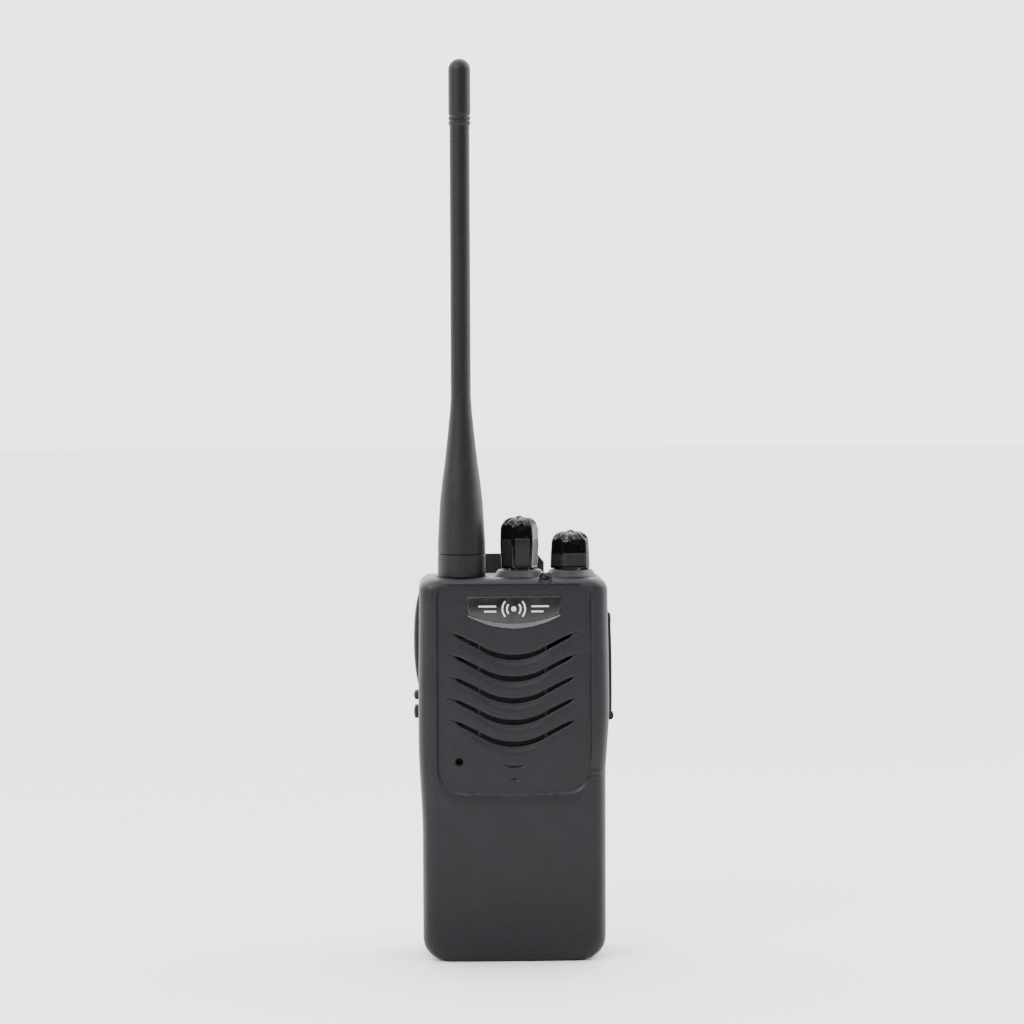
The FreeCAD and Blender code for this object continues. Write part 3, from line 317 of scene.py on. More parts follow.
def add_bump(material, height, distance):
    """Gives the material a bump from a height output. distance is in metres."""
    bump = add_node(material, "ShaderNodeBump", Height=height, Distance=distance, Strength=1.0)
    connect(material, bump.outputs["Normal"], "Normal")


def dust_mask(material, scale, share, offset):
    """Small separate specks: 1 on a speck and 0 elsewhere. share is how much is covered."""
    mapping = add_node(material, "ShaderNodeMapping", Vector=object_place(material),
                       Location=(offset, offset, offset))
    cells = add_node(material, "ShaderNodeTexVoronoi", Vector=mapping.outputs[0], Scale=scale)
    speck = ramp(material, cells.outputs["Distance"], 0.10, 0.16, 1.0, 0.0)
    chosen = add_node(material, "ShaderNodeSeparateColor", Color=cells.outputs["Color"])
    return maths(material, "MULTIPLY", speck, maths(material, "LESS_THAN", chosen.outputs[0], share))


def moulded(name, colour, roughness, grain=3600, depth=0.00003, dust=0.06, spread=0.18, lift=1.0,
            ior=1.42):
    """Textured moulded plastic: fine grain, slight mottling and a little dust."""
    material = new_material(name, colour, roughness, IOR=ior)
    mottle = object_noise(material, 90, 4, offset=0.31)
    fine = object_noise(material, grain, 2, offset=0.12)
    dark = tuple(c * (1 - spread) for c in colour)
    light = tuple(c * (1 + spread) for c in colour)
    base = mixed_colour(material, ramp(material, mottle, 0.3, 0.7), dark, light)
    grainy = mixed_colour(material, ramp(material, fine, 0.35, 0.7, 0, 0.35), base,
                          tuple(min(1, c * 1.9 + 0.004) for c in colour))
    specks = dust_mask(material, 1900, dust, 0.05)
    dusty = mixed_colour(material, maths(material, "MULTIPLY", specks, 0.20 * lift), grainy,
                         (0.34, 0.34, 0.33))
    connect(material, dusty, "Base Color")
    connect(material, ramp(material, fine, 0.3, 0.7, roughness - 0.06, roughness + 0.08), "Roughness")
    add_bump(material, fine, depth)
    return material


def polished(name, colour, roughness, coat=0.0, ior=1.52):
    """Smooth dark plastic with faint streaks in the polish and a little dust."""
    material = new_material(name, colour, roughness, IOR=ior, Coat_Weight=coat, Coat_Roughness=0.08)
    wipe = object_noise(material, 260, 4, (1, 1, 0.35), 0.2)
    connect(material, ramp(material, wipe, 0.3, 0.75, roughness * 0.75, roughness * 1.5), "Roughness")
    specks = dust_mask(material, 1500, 0.10, 0.33)
    lighter = tuple(c * 1.5 for c in colour)
    base = mixed_colour(material, ramp(material, wipe, 0.4, 0.8), colour, lighter)
    connect(material, mixed_colour(material, maths(material, "MULTIPLY", specks, 0.5), base,
                                   (0.30, 0.30, 0.29)), "Base Color")
    add_bump(material, object_noise(material, 700, 2, offset=0.4), 0.000015)
    return material


def bare_metal(name, colour, roughness, stretch=(1, 1, 1), scale=900, tarnish=0.35):
    """Metal with fine finish marks and slight tarnish."""
    material = new_material(name, colour, roughness, 1.0)
    marks = object_noise(material, scale, 3, stretch, 0.17)
    patches = object_noise(material, 160, 4, offset=0.44)
    dull = tuple(c * (1 - tarnish) for c in colour)
    worn = ramp(material, patches, 0.35, 0.75)
    connect(material, mixed_colour(material, worn, colour, dull), "Base Color")
    connect(material, ramp(material, marks, 0.3, 0.7, roughness * 0.8, roughness * 1.3), "Roughness")
    add_bump(material, marks, 0.000012)
    return material


def woven(name, colour):
    """Dust cloth: a fine over-and-under weave."""
    material = new_material(name, colour, 0.9, IOR=1.3)
    threads = []
    for direction in ("X", "Z"):
        wave = add_node(material, "ShaderNodeTexWave", Vector=object_place(material), Scale=420)
        wave.bands_direction = direction
        threads.append(wave.outputs["Fac"])
    weave = maths(material, "MULTIPLY", *threads)
    connect(material, mixed_colour(material, weave, colour, tuple(c * 2.6 for c in colour)), "Base Color")
    add_bump(material, weave, 0.00008)
    return material


def circuit_green(name):
    """Solder mask over copper tracks, which show as slightly lighter lines."""
    material = new_material(name, (0.012, 0.09, 0.035), 0.32, IOR=1.5, Coat_Weight=0.4)
    cells = add_node(material, "ShaderNodeTexVoronoi", Vector=object_place(material), Scale=260)
    cells.distance = "MANHATTAN"
    track = ramp(material, cells.outputs["Distance"], 0.42, 0.5)
    green = mixed_colour(material, track, (0.010, 0.075, 0.028), (0.03, 0.20, 0.085))
    connect(material, green, "Base Color")
    add_bump(material, track, 0.00002)
    return material


CASE = moulded("case plastic", (0.0095, 0.0090, 0.0122), 0.42, grain=2600, depth=0.00007)
CASE_SMOOTH = moulded("case plastic, smooth", (0.016, 0.0155, 0.019), 0.28, depth=0.00001, dust=0.03)
# The badge rim is the case's own plastic coloured about eight times lighter: a painted highlight standing in
# for the light its upward-facing bevel catches.
RIM_PAINTED_HIGHLIGHT = moulded("badge rim, painted highlight", (0.075, 0.075, 0.080), 0.26, grain=2600, depth=0.00002, dust=0.02, ior=1.5)
CASE_REAR = moulded("case plastic, rear", (0.018, 0.0175, 0.021), 0.50)
SOFT_BLACK = moulded("moulded rubber", (0.010, 0.010, 0.011), 0.60, grain=4200, dust=0.12)
AERIAL = moulded("aerial sheath", (0.0042, 0.0042, 0.0046), 0.50, grain=5200, depth=0.000025, dust=0.16,
                 lift=1.6)
BADGE = polished("badge black", (0.004, 0.004, 0.0045), 0.34, coat=0.1)
# The bevel round the badge's face is coloured about ten times lighter than the badge itself: a painted
# highlight standing in for light caught on the chamfer.
BADGE_EDGE_PAINTED_HIGHLIGHT = moulded("badge edge, painted highlight", (0.045, 0.045, 0.048), 0.30, grain=6000, depth=0.00001, dust=0.0)
MARK = moulded("printed mark", (0.62, 0.62, 0.62), 0.5, grain=6000, depth=0.000005, dust=0.0, spread=0.05)
KNOB_GLOSS = polished("knob gloss", (0.0025, 0.0025, 0.0028), 0.13, ior=1.36)
KNOB_MATT = moulded("knob matt", (0.006, 0.006, 0.0065), 0.42, grain=7000, depth=0.00001, dust=0.10)
LENS = polished("smoked lens", (0.002, 0.002, 0.0025), 0.14, ior=1.28)
CASTING = moulded("painted casting", (0.030, 0.030, 0.034), 0.42, grain=2600, depth=0.00005)
GOLD = bare_metal("gold plate", (0.85, 0.60, 0.25), 0.26)
BLACK_STEEL = bare_metal("black zinc", (0.075, 0.075, 0.085), 0.40, (1, 1, 0.2))
STEEL = bare_metal("bright zinc", (0.62, 0.63, 0.65), 0.30, (1, 0.15, 1))
TIN = bare_metal("tin plate", (0.66, 0.67, 0.68), 0.36, (0.2, 1, 1), tarnish=0.2)
BOARD = circuit_green("solder mask")
CHIP = moulded("epoxy", (0.014, 0.014, 0.015), 0.5, grain=7000, depth=0.00001)
FELT = woven("dust cloth", (0.006, 0.006, 0.006))
CONE = moulded("pulp cone", (0.060, 0.055, 0.050), 0.85, grain=1800, depth=0.00006)
FOIL = bare_metal("cell can", (0.50, 0.52, 0.55), 0.34)
SLOT_MATERIALS = {
    "case_plastic": CASE_REAR, "badge_plastic": BADGE, "rubber_black": SOFT_BLACK, "knob_gloss": KNOB_GLOSS,
    "lens_dark": LENS, "antenna_rubber": AERIAL, "chassis_metal": CASTING, "brass_gold": GOLD,
    "steel_black": BLACK_STEEL, "steel_bright": STEEL, "board_green": BOARD, "can_tin": TIN,
    "chip_black": CHIP, "felt_black": FELT, "cone_paper": CONE, "cell_foil": FOIL,
}


def dress_cad_nodes():
    """Gives every CAD node its slot's material and smooths it across its soft edges."""
    for part in frame["record"]["subparts"]:
        node = frame["nodes"][part["node"]]
        node.data.materials.clear()
        finish = FELT if part["node"] == "mic_capsule" else SLOT_MATERIALS[part["material_slot"]]
        node.data.materials.append(finish)
        node.data.shade_smooth()
        node.data.set_sharp_from_angle(angle=math.radians(32))


dress_cad_nodes()


# ---------------------------------------------------------------- front case

RING_BASE, RING_TOP, RING_HIGH, SEAT_R = 7.2, 6.1, 2.0, 7.9
KEY_HEIGHTS = {"ptt_button": (79.8, 106.8), "side_key_1": (75.9, 78.5), "side_key_2": (70.4, 74.2)}
SIDE_HALF, KEY_HALF, KEY_GAP = 4.6, 3.0, 0.25
HINGE_X, HINGE_Z = 28.05, 71.3
LUG_ENDS, LUG_HALF, LUG_OUT = ((-9.9, -8.25), (1.45, 3.1)), 1.3, 29.2
LENS_TILT, LENS_X, LENS_AXIS = 36.0, 9.3, (-12.2, 108.3)
BADGE_HALF, BADGE_LOW_HALF, BADGE_TOP, BADGE_SIDE, BADGE_LOW = 13.9, 13.1, 106.6, 101.4, 98.8
TOP_CORNER, FOOT_CORNER = 4.0, 7.0
CORNER_X, CORNER_Y = 4.6, 4.0
TOP_ROUND, FOOT_ROUND = 3.4, 1.3
BELLY_Z, BELLY_RADIUS = 46.0, 700.0
PANEL_HALF, PANEL_LOW, PANEL_TOP = 22.3, 49.6, 110.0
PANEL_LOW_ROUND, PANEL_TOP_ROUND = 7.0, 3.4
PANEL_DEEP = 0.8
SLOT_LOW, SLOT_PITCH, SLOT_COUNT = 63.6, 6.32, 5
SLOT_ARC, SLOT_SLOPE, SLOT_HALF = 18.0, 29.0, 17.0
SLOT_THICK, LIP, WELL_DEEP = 0.70, 0.42, 2.6
CREASE_HALF = 20.0
DISH_DEEP, DISH_HALF = 0.50, 13.5
RIBS = (-10.1, 9.3)
DASHES = ((3.5, 57.4, 0.45, 0.55), (1.5, 53.6, 0.40, 0.40))


def case_half_width(z, side=-1):
    """Half the case's width at height z on one side, with its flare, top corners and rounded feet."""
    z = np.asarray(z, float)
    start, end = LEFT_FLARE if side < 0 else RIGHT_FLARE
    half = HALF_LOW + (HALF_HIGH - HALF_LOW) * smooth_step(z, start, end)
    half = half - (HALF_HIGH - HALF_TOP) * smooth_step(z, end, DECK)
    return half - sag(TOP_CORNER, z - (DECK - TOP_CORNER)) - sag(FOOT_CORNER, FOOT_CORNER - z)


def front_recess(z):
    """How far the front stands behind its foremost plane at height z, away from the panel."""
    z = np.asarray(z, float)
    recess = sag(TOP_ROUND, z - (DECK - TOP_ROUND)) + sag(FOOT_ROUND, FOOT_ROUND - z)
    return recess + np.clip(BELLY_Z - z, 0, None) ** 2 / 2 / BELLY_RADIUS


def smile(x):
    """How far a sound slot's centre line rises at x: an arc that runs on as a straight slope."""
    x = np.abs(x)
    slope = math.radians(SLOT_SLOPE)
    bend = SLOT_ARC * math.sin(slope)
    rise = sag(SLOT_ARC, np.minimum(x, bend))
    beyond = np.clip(x - bend, 0, 10.5)
    return rise + math.tan(slope) * (beyond - 0.009 * beyond ** 2)


def smile_share(level):
    """How much of the smile a row at this level follows."""
    return smooth_step(level, 44, 60.5) * (1 - smooth_step(level, 91.5, 109.5))


def outline_distance(x, z):
    """Distance from (x, z) to the panel's outline, negative inside it."""
    corner = np.where(z < (PANEL_LOW + PANEL_TOP) / 2, PANEL_LOW_ROUND, PANEL_TOP_ROUND)
    bow = 0.5 * (1 - np.clip(np.abs(x) / PANEL_HALF, 0, 1) ** 2)
    low = PANEL_LOW - bow
    middle = (low + PANEL_TOP) / 2
    across = np.abs(x) - (PANEL_HALF - corner)
    along = np.abs(z - middle) - ((PANEL_TOP - low) / 2 - corner)
    outside = np.hypot(np.maximum(across, 0), np.maximum(along, 0))
    return outside + np.minimum(np.maximum(across, along), 0) - corner


def panel_depth(x, z):
    """Depth of the front panel at (x, z), with a crisp side step and a swollen lower lip."""
    distance = outline_distance(x, z)
    low_share = smooth_step(-z, -(PANEL_LOW + 9), -(PANEL_LOW + 1)) * (1 - smooth_step(np.abs(x), 18, 22))
    lip = 0.10 + 0.26 * low_share
    width = 0.5 + 3.6 * low_share
    step = (PANEL_DEEP - lip) * (1 - smooth_step(distance, -0.22, 0.16))
    shoulder = lip * np.clip(1 - np.maximum(distance, 0) / width, 0, 1) ** 2
    return step + shoulder


def slot_row_kinds():
    """Rows across one slot, from below it to above it: (kind, share of that kind's band)."""
    rows = [("below", share) for share in np.linspace(0, 1, 9)[:-1]]
    rows += [("bevel", share) for share in (0.0, 0.3, 0.6, 0.85, 1.0)]
    rows += [("well", share) for share in (0.0, 0.34, 0.67, 1.0)]
    rows += [("lip", share) for share in (0.0, 0.2, 0.4, 0.6, 0.8, 1.0)]
    rows += [("above", share) for share in np.linspace(0, 1, 5)[1:-1]]
    return rows


def slot_half_high(x):
    """Half a slot's height at x: full in the middle, drawn out to a fine crease past its ends."""
    away = np.abs(x)
    half = SLOT_THICK * (1 - 0.42 * np.clip(away / SLOT_HALF, 0, 1) ** 2)
    return half - (half - 0.13) * smooth_step(away, SLOT_HALF - 1.3, SLOT_HALF + 0.5)


def slot_row(x, kind, share):
    """Height above the slot's centre line, and depth into the panel, for one row across a slot."""
    away = np.abs(x)
    half = slot_half_high(x)
    opened = 1 - smooth_step(away, SLOT_HALF - 0.6, SLOT_HALF + 0.2)
    crease = 0.42 * (1 - smooth_step(away, SLOT_HALF + 0.2, CREASE_HALF))
    dish = 0.10 + DISH_DEEP * np.clip(1 - (away / DISH_HALF) ** 2, 0, 1)
    rib = np.zeros_like(x)
    for rib_x in RIBS:
        rib = np.maximum(rib, 1 - smooth_step(np.abs(x - rib_x), 0.30, 0.55))
    well = np.maximum((WELL_DEEP - rib * (WELL_DEEP - 1.25)) * opened, crease)
    bevel = 0.34
    reach = SLOT_PITCH / 2
    low = -half - bevel
    if kind == "below":
        sink = share ** 1.6 * (1 - 0.35 * share ** 9)
        return -reach + (low + reach) * share, dish * sink * np.maximum(opened, crease)
    if kind == "bevel":
        turn = math.pi / 2 * share
        drop = 0.30 * (1 - math.cos(turn)) + 0.12 * share
        fade = np.maximum(opened, crease)
        return low + bevel * math.sin(turn), (0.65 * dish + drop) * fade
    if kind == "well":
        wall = 0.04
        return (-half + wall) + 2 * (half - wall) * share, well
    if kind == "lip":
        turn = math.pi / 2 * share
        fade = np.maximum(opened, crease)
        return half + LIP * (1 - math.cos(turn)), LIP * (1 - math.sin(turn)) * fade
    start = half + LIP
    return start + (reach - start) * share, np.zeros_like(x)


def front_columns():
    """Column places across the front, closer together at the panel's edges and the ribs."""
    places = list(np.arange(-PANEL_HALF - 0.45, PANEL_HALF + 0.451, 0.32))
    for edge in (PANEL_HALF, -PANEL_HALF):
        places += list(np.arange(edge - 0.3, edge + 0.31, 0.1))
    for rib in RIBS:
        places += list(rib + np.array([-0.62, -0.5, -0.42, -0.32, 0.32, 0.42, 0.5, 0.62]))
    for end in (SLOT_HALF, -SLOT_HALF):
        places += list(end + np.arange(-1.3, 0.71, 0.18))
    places = sorted(places)
    kept = [places[0]]
    for place in places[1:]:
        if place - kept[-1] > 0.07:
            kept.append(place)
    return np.array(kept)


def front_levels():
    """Row levels outside the slots: (level, kind, share) from foot to deck."""
    foot = FOOT_CORNER * (1 - np.cos(np.radians(np.linspace(0, 90, 12))))
    low_rows = list(foot) + list(np.arange(8, 44.0, 1.2))
    low_rows += list(np.arange(44.0, SLOT_LOW - SLOT_PITCH / 2, 0.22))
    last_slot = SLOT_LOW + SLOT_PITCH * (SLOT_COUNT - 1) + SLOT_PITCH / 2
    corner = DECK - TOP_CORNER * (1 - np.sin(np.radians(np.linspace(0, 90, 14))))
    high_rows = list(np.arange(last_slot, DECK - TOP_CORNER - 0.1, 0.26)) + list(corner)
    return low_rows, high_rows


def spread(columns, half, level):
    """Moves the columns' outer ends to where the corner at this height starts."""
    edge = PANEL_HALF + 0.45
    inner = half - CORNER_X
    if level < 44 or inner < edge - 1:
        return columns * inner / edge
    return columns + np.sign(columns) * np.clip((np.abs(columns) - 20) / (edge - 20), 0, 1) * (inner - edge)


def wall_and_corner(half, height, edge_y):
    """The points of one side, from its back edge round the front corner: (distance out, y, z)."""
    side = [(half, y, height) for y in np.linspace(CASE_BACK, edge_y + CORNER_Y, 9)]
    inner = half - CORNER_X
    for angle in np.radians(np.linspace(0, 90, 11))[1:-1]:
        side.append((inner + CORNER_X * math.cos(angle), edge_y + CORNER_Y * (1 - math.sin(angle)), height))
    return side


def dash_depth(x, heights):
    """The two short index marks under the sound slots, as shallow curved grooves."""
    depth = np.zeros_like(x)
    for half, middle, high, deep in DASHES:
        share = np.clip(1 - (x / half) ** 2, 0, 1)
        line = middle - 0.35 * (1 - (x / half) ** 2)
        near = 1 - smooth_step(np.abs(heights - line), 0.0, high)
        depth = depth + deep * near * np.sqrt(share)
    return depth


def case_row(level, columns, extra_z=0.0, extra_depth=0.0):
    """One ring of points from the back-left edge round the front to the back-right edge."""
    heights = level + extra_z + smile_share(level) * smile(columns)
    half_left = float(case_half_width(heights[0], -1))
    half_right = float(case_half_width(heights[-1], 1))
    x = np.where(columns < 0, spread(columns, half_left, level), spread(columns, half_right, level))
    depth = panel_depth(x, heights) + extra_depth + dash_depth(x, heights)
    sideways = 0.25 * (np.abs(columns) / PANEL_HALF) ** 3
    y = -CASE_FRONT + np.maximum(front_recess(heights) + depth, 0) + sideways
    left = [(-out, py, pz) for out, py, pz in wall_and_corner(half_left, heights[0], float(y[0]))]
    right = wall_and_corner(half_right, heights[-1], float(y[-1]))
    return left + list(zip(x, y, heights)) + list(reversed(right))


def build_front_case():
    """The front case's outer form as one closed skin, then its openings cut through it."""
    columns = front_columns()
    low_rows, high_rows = front_levels()
    rings = [case_row(level, columns) for level in low_rows]
    for index in range(SLOT_COUNT):
        centre = SLOT_LOW + SLOT_PITCH * index
        for kind, share in slot_row_kinds():
            offset, depth = slot_row(columns, kind, share)
            rings.append(case_row(centre, columns, offset, depth))
    rings += [case_row(level, columns) for level in high_rows]
    width = len(rings[0])
    points = [point for ring in rings for point in ring]
    case = make_piece("front_case_shell", points, capped_faces(len(rings), width), "radio", [CASE], 38)
    carve(case, [cavity_cutter()])
    carve(case, deck_bosses() + hinge_lugs(), "UNION")
    carve(case, deck_cutters() + side_cutters() + front_cutters())
    tidy_mesh(case, 38)
    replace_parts(case, "front_case")
    return case


def turned_solid(section, x, y, steps=96):
    """A closed turned form as a plain mesh for joining or cutting."""
    return loose_mesh("turned", turned_points(section, x, y, steps), capped_faces(len(section), steps))


def deck_bosses():
    """The sloping ring round each knob's stem and the low collar round the aerial's seat."""
    bosses = []
    for x in (CHANNEL_X, VOLUME_X):
        slope = [(RING_BASE + 0.5, DECK - 0.4), (RING_BASE + 0.45, DECK + 0.12),
                 (RING_BASE + 0.1, DECK + 0.45),
                 (RING_TOP + 0.35, DECK + RING_HIGH - 0.35), (RING_TOP + 0.05, DECK + RING_HIGH - 0.06),
                 (RING_TOP - 0.35, DECK + RING_HIGH), (RING_TOP - 0.6, DECK + RING_HIGH)]
        bosses.append(turned_solid(slope, x, STEM_Y))
    return bosses


def hinge_lugs():
    """The two lugs that hold the cover's pin, one at each end of its barrel."""
    lugs = []
    for start, end in LUG_ENDS:
        lugs.append(box_cutter((HALF_HIGH - 2.0, start, HINGE_Z - LUG_HALF),
                               (LUG_OUT, end, HINGE_Z + LUG_HALF), 0.9, axis=1))
    return lugs


def deck_cutters():
    """The aerial's seat, the knob wells and the holes through the deck."""
    cutters = [turned_solid([(SEAT_R - 0.5, DECK - 0.72), (SEAT_R - 0.1, DECK - 0.62), (SEAT_R, DECK - 0.3),
                             (SEAT_R + 0.35, DECK + 0.05), (SEAT_R + 0.5, DECK + 1)], ANTENNA_X, STEM_Y),
               turned_solid([(3.45, DECK - 8), (3.45, DECK)], ANTENNA_X, STEM_Y)]
    for x in (CHANNEL_X, VOLUME_X):
        cutters.append(turned_solid([(RING_TOP - 1.1, DECK), (RING_TOP - 1.0, DECK + 1.4),
                                     (RING_TOP - 0.5, DECK + RING_HIGH + 0.5)], x, STEM_Y))
        cutters.append(turned_solid([(3.2, DECK - 8), (3.2, DECK + 1)], x, STEM_Y))
    return cutters


def side_cutters():
    """The openings for the talk bar, the two keys, the jacks and the cover's hinge."""
    deep_left = (-HALF_HIGH - 1, -HALF_HIGH + 3.5)
    cutters = []
    for name, (low_z, high_z) in KEY_HEIGHTS.items():
        outer_half = SIDE_HALF if name == "ptt_button" else KEY_HALF
        cutters.append(box_cutter((deep_left[0], SIDE_Y - outer_half - KEY_GAP, low_z - KEY_GAP),
                                  (deep_left[1], SIDE_Y + outer_half + KEY_GAP, high_z + KEY_GAP), 0.6))
    jack_low, jack_high = node_box("jack_block")
    cutters.append(box_cutter((HALF_HIGH - 3.5, jack_low[1] - 0.2, jack_low[2] - 0.2),
                              (HALF_HIGH + 1, jack_high[1] + 0.2, jack_high[2] + 0.2), 0.8))
    cutters.append(box_cutter((26.55, -8.2, HINGE_Z - 1.6), (HALF_HIGH + 1.6, 1.4, HINGE_Z + 1.6), 0.7,
                              axis=1))
    return cutters


def front_cutters():
    """The microphone hole with its countersink, the lamp's hole and the badge's seat."""
    tilt = math.radians(LENS_TILT)
    along = (0, -math.sin(tilt), math.cos(tilt))
    face = -CASE_FRONT + PANEL_DEEP
    seat = [(x * 1.012, z + (0.1 if z > 104 else -0.12)) for x, z in badge_outline()]
    points = [(x, y, z) for y in (face - 1.5, face + 0.7) for x, z in seat]
    seat_cutter = loose_mesh("cutter", points, capped_faces(2, len(seat)))
    return [round_cutter((MIC[0], face - 0.3, MIC[2]), (0, 1, 0), 3.5, 1.0, mouth=(1.6, 0.75)),
            round_cutter((LENS_X, LENS_AXIS[0], LENS_AXIS[1]), along, 7.0, 1.75),
            seat_cutter]


def badge_outline(inset=0.0):
    """The badge from the front: a wide top edge, drawn-in sides and a bowed lower edge, as (x, z)."""
    outline = []
    for x in np.linspace(-BADGE_LOW_HALF + inset, BADGE_LOW_HALF - inset, 41):
        share = x / (BADGE_LOW_HALF - inset)
        outline.append((x, BADGE_LOW + inset + (BADGE_SIDE - BADGE_LOW) * share ** 2))
    outline += [(BADGE_HALF - inset, BADGE_TOP - 0.6), (BADGE_HALF - 0.6 - inset, BADGE_TOP - inset)]
    outline += [(-BADGE_HALF + 0.6 + inset, BADGE_TOP - inset), (-BADGE_HALF + inset, BADGE_TOP - 0.6)]
    return outline


def cavity_cutter():
    """The hollow inside the case, open at the back."""
    wall, front_wall = 2.0, 2.2
    outline = []
    for z in np.concatenate([np.linspace(wall, FOOT_CORNER, 6), np.linspace(30, 100, 8),
                             np.linspace(DECK - TOP_CORNER, DECK - wall, 5)]):
        outline.append((z, float(case_half_width(z, -1)) - wall, float(case_half_width(z, 1)) - wall))
    right_side = [(right, z) for z, left, right in outline]
    outline = right_side + [(-left, z) for z, left, right in reversed(outline)]
    points = [(x, y, z) for y in (-CASE_FRONT + front_wall, CASE_BACK + 2) for x, z in outline]
    return loose_mesh("cutter", points, capped_faces(2, len(outline)))


build_front_case()


# ---------------------------------------------------------------- knobs

CROWN_HIGH = 5.0


def lobe_radius(angles, sides, facet_half, turn):
    """Radius share of a knob with flat facets: 1 on the ridges between them, less on each facet."""
    period = TAU / sides
    phase = (angles - turn + period / 2) % period - period / 2
    flat = math.cos(facet_half) / np.cos(np.clip(phase, -facet_half * 1.4, facet_half * 1.4))
    hollow = 0.012 * np.clip(1 - (phase / facet_half) ** 2, 0, 1)
    return (np.minimum(flat, 1.4) ** -70 + 1) ** (-1 / 70) - hollow, phase


def crown_folds(angles, seed):
    """Uneven radial folds round a knob's crown, from 0 in a crease to 1 on a ridge."""
    waves = np.cos(9 * angles + seed) + 0.7 * np.cos(14 * angles + 2.3 * seed)
    waves = waves + 0.6 * np.cos(23 * angles + seed)
    return smooth_step(waves, -1.5, 0.9)


def make_knob(name, node, body, radii, sides, facet_half, turn, matt_top, matt_share, seed):
    """A grip knob: faceted sides with a matt field on each facet, and a gathered crown with a nub.
    radii run from the foot to the shoulder, facet_half and turn are in degrees, and matt_share is how much
    of a facet's width the field takes, up to the height matt_top."""
    low, high = node_box(node)
    centre_x = CHANNEL_X if "channel" in node else VOLUME_X
    bottom, top = low[2], high[2]
    shoulder = top - CROWN_HIGH
    steps = 168
    angles = np.linspace(0, TAU, steps, endpoint=False)
    lobe, phase = lobe_radius(angles, sides, math.radians(facet_half), math.radians(turn))
    on_field = np.abs(phase) < math.radians(facet_half * matt_share)
    folds = crown_folds(angles, seed)
    heights = [bottom, bottom, bottom + 0.15, bottom + 0.4]
    heights += list(np.linspace(bottom + 0.8, matt_top - 0.12, 14)) + [matt_top - 0.04, matt_top + 0.04]
    heights += list(np.linspace(matt_top + 0.3, shoulder, 10))
    points, rows = [], 0
    for index, height in enumerate(heights):
        share = (height - bottom) / (shoulder - bottom)
        radius = np.interp(share, (0, 0.3, 0.65, 1.0), radii)
        radius = radius - (0.35, 0.14, 0.04, 0.0)[min(index, 3)]
        in_field = on_field & (matt_top > height > bottom + 0.5)
        ring = radius * lobe - np.where(in_field, 0.07, 0.0)
        points += list(zip(centre_x + ring * np.cos(angles), STEM_Y + ring * np.sin(angles),
                           np.full(steps, height)))
        rows += 1
    for turn_up in np.radians(np.linspace(4, 89.5, 30)):
        reach, rise = math.cos(turn_up) ** 0.62, math.sin(turn_up) ** 0.72
        mix = smooth_step(rise, 0.15, 0.85)
        depth = 0.74 * smooth_step(rise, 0.38, 0.80) * smooth_step(reach, 0.0, 0.35)
        ring = radii[-1] * reach * (lobe * (1 - mix) + 0.985 * mix) - 0.8 * depth * (1 - folds)
        ring = np.maximum(ring, 0.05)
        level = shoulder + (top - 0.5 - shoulder) * rise - 0.45 * depth * (1 - folds)
        points += list(zip(centre_x + ring * np.cos(angles), STEM_Y + ring * np.sin(angles), level))
        rows += 1
    faces = capped_faces(rows, steps)
    slots = []
    for row in range(rows - 1):
        height = heights[row] if row < len(heights) else top
        low_enough = bottom + 0.5 < height < matt_top - 0.1
        slots += [int(column and low_enough) for column in on_field]
    slots += [0, 0]
    knob = make_piece(name, points, faces, body, [KNOB_GLOSS, KNOB_MATT], 50, slots)
    nub = knob_nub(centre_x, top, seed)
    join_pieces(knob, [nub])
    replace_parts(knob, node)
    return knob


def knob_nub(x, top, seed):
    """The small off-centre nub on a knob's crown."""
    section = rounded_turn([(0.05, top - 2.2), (2.3, top - 2.1), (1.65, top - 0.95), (0.95, top - 0.25),
                            (0.35, top), (0.05, top)], 0.5)
    nub = turned_solid(section, x - 0.6, STEM_Y - 0.6 + 0.1 * math.sin(seed), 40)
    for vertex in nub.data.vertices:
        vertex.co.x += 0.55 * max(vertex.co.z - (top - 1.2) * MM, 0)
    return nub


def join_pieces(piece, others):
    """Adds the meshes of other objects to a piece and removes those objects."""
    work = bmesh.new()
    work.from_mesh(piece.data)
    for other in others:
        work.from_mesh(other.data)
    work.to_mesh(piece.data)
    work.free()
    for other in others:
        bpy.data.objects.remove(other)
    tidy_mesh(piece, 45)


def build_knobs():
    """The channel and volume knobs."""
    make_knob("channel_grip", "channel_knob", "channel_control", (5.2, 5.5, 5.75, 5.62), sides=6,
              facet_half=28.0, turn=-82.0, matt_top=123.0, matt_share=0.86, seed=0.7)
    make_knob("volume_grip", "volume_knob", "volume_control", (6.0, 6.0, 5.92, 5.75), sides=5,
              facet_half=25.0, turn=-70.0, matt_top=118.6, matt_share=2.0, seed=2.1)


build_knobs()


# ---------------------------------------------------------------- badge and status lamp

def prism(name, outline, back, front, materials, body="radio", bevel=0.22):
    """A flat plate facing forwards with a bevelled front edge. outline(inset) gives (x, z) points."""
    rings = [(outline(0), back), (outline(0), front + bevel), (outline(bevel * 0.35), front + bevel * 0.3),
             (outline(bevel), front)]
    points = [(x, y, z) for ring, y in rings for x, z in ring]
    count = len(rings[0][0])
    slots = [0] * count + [1] * (2 * count) + [0, 0]
    return make_piece(name, points, capped_faces(len(rings), count), body, materials, 25, slots)


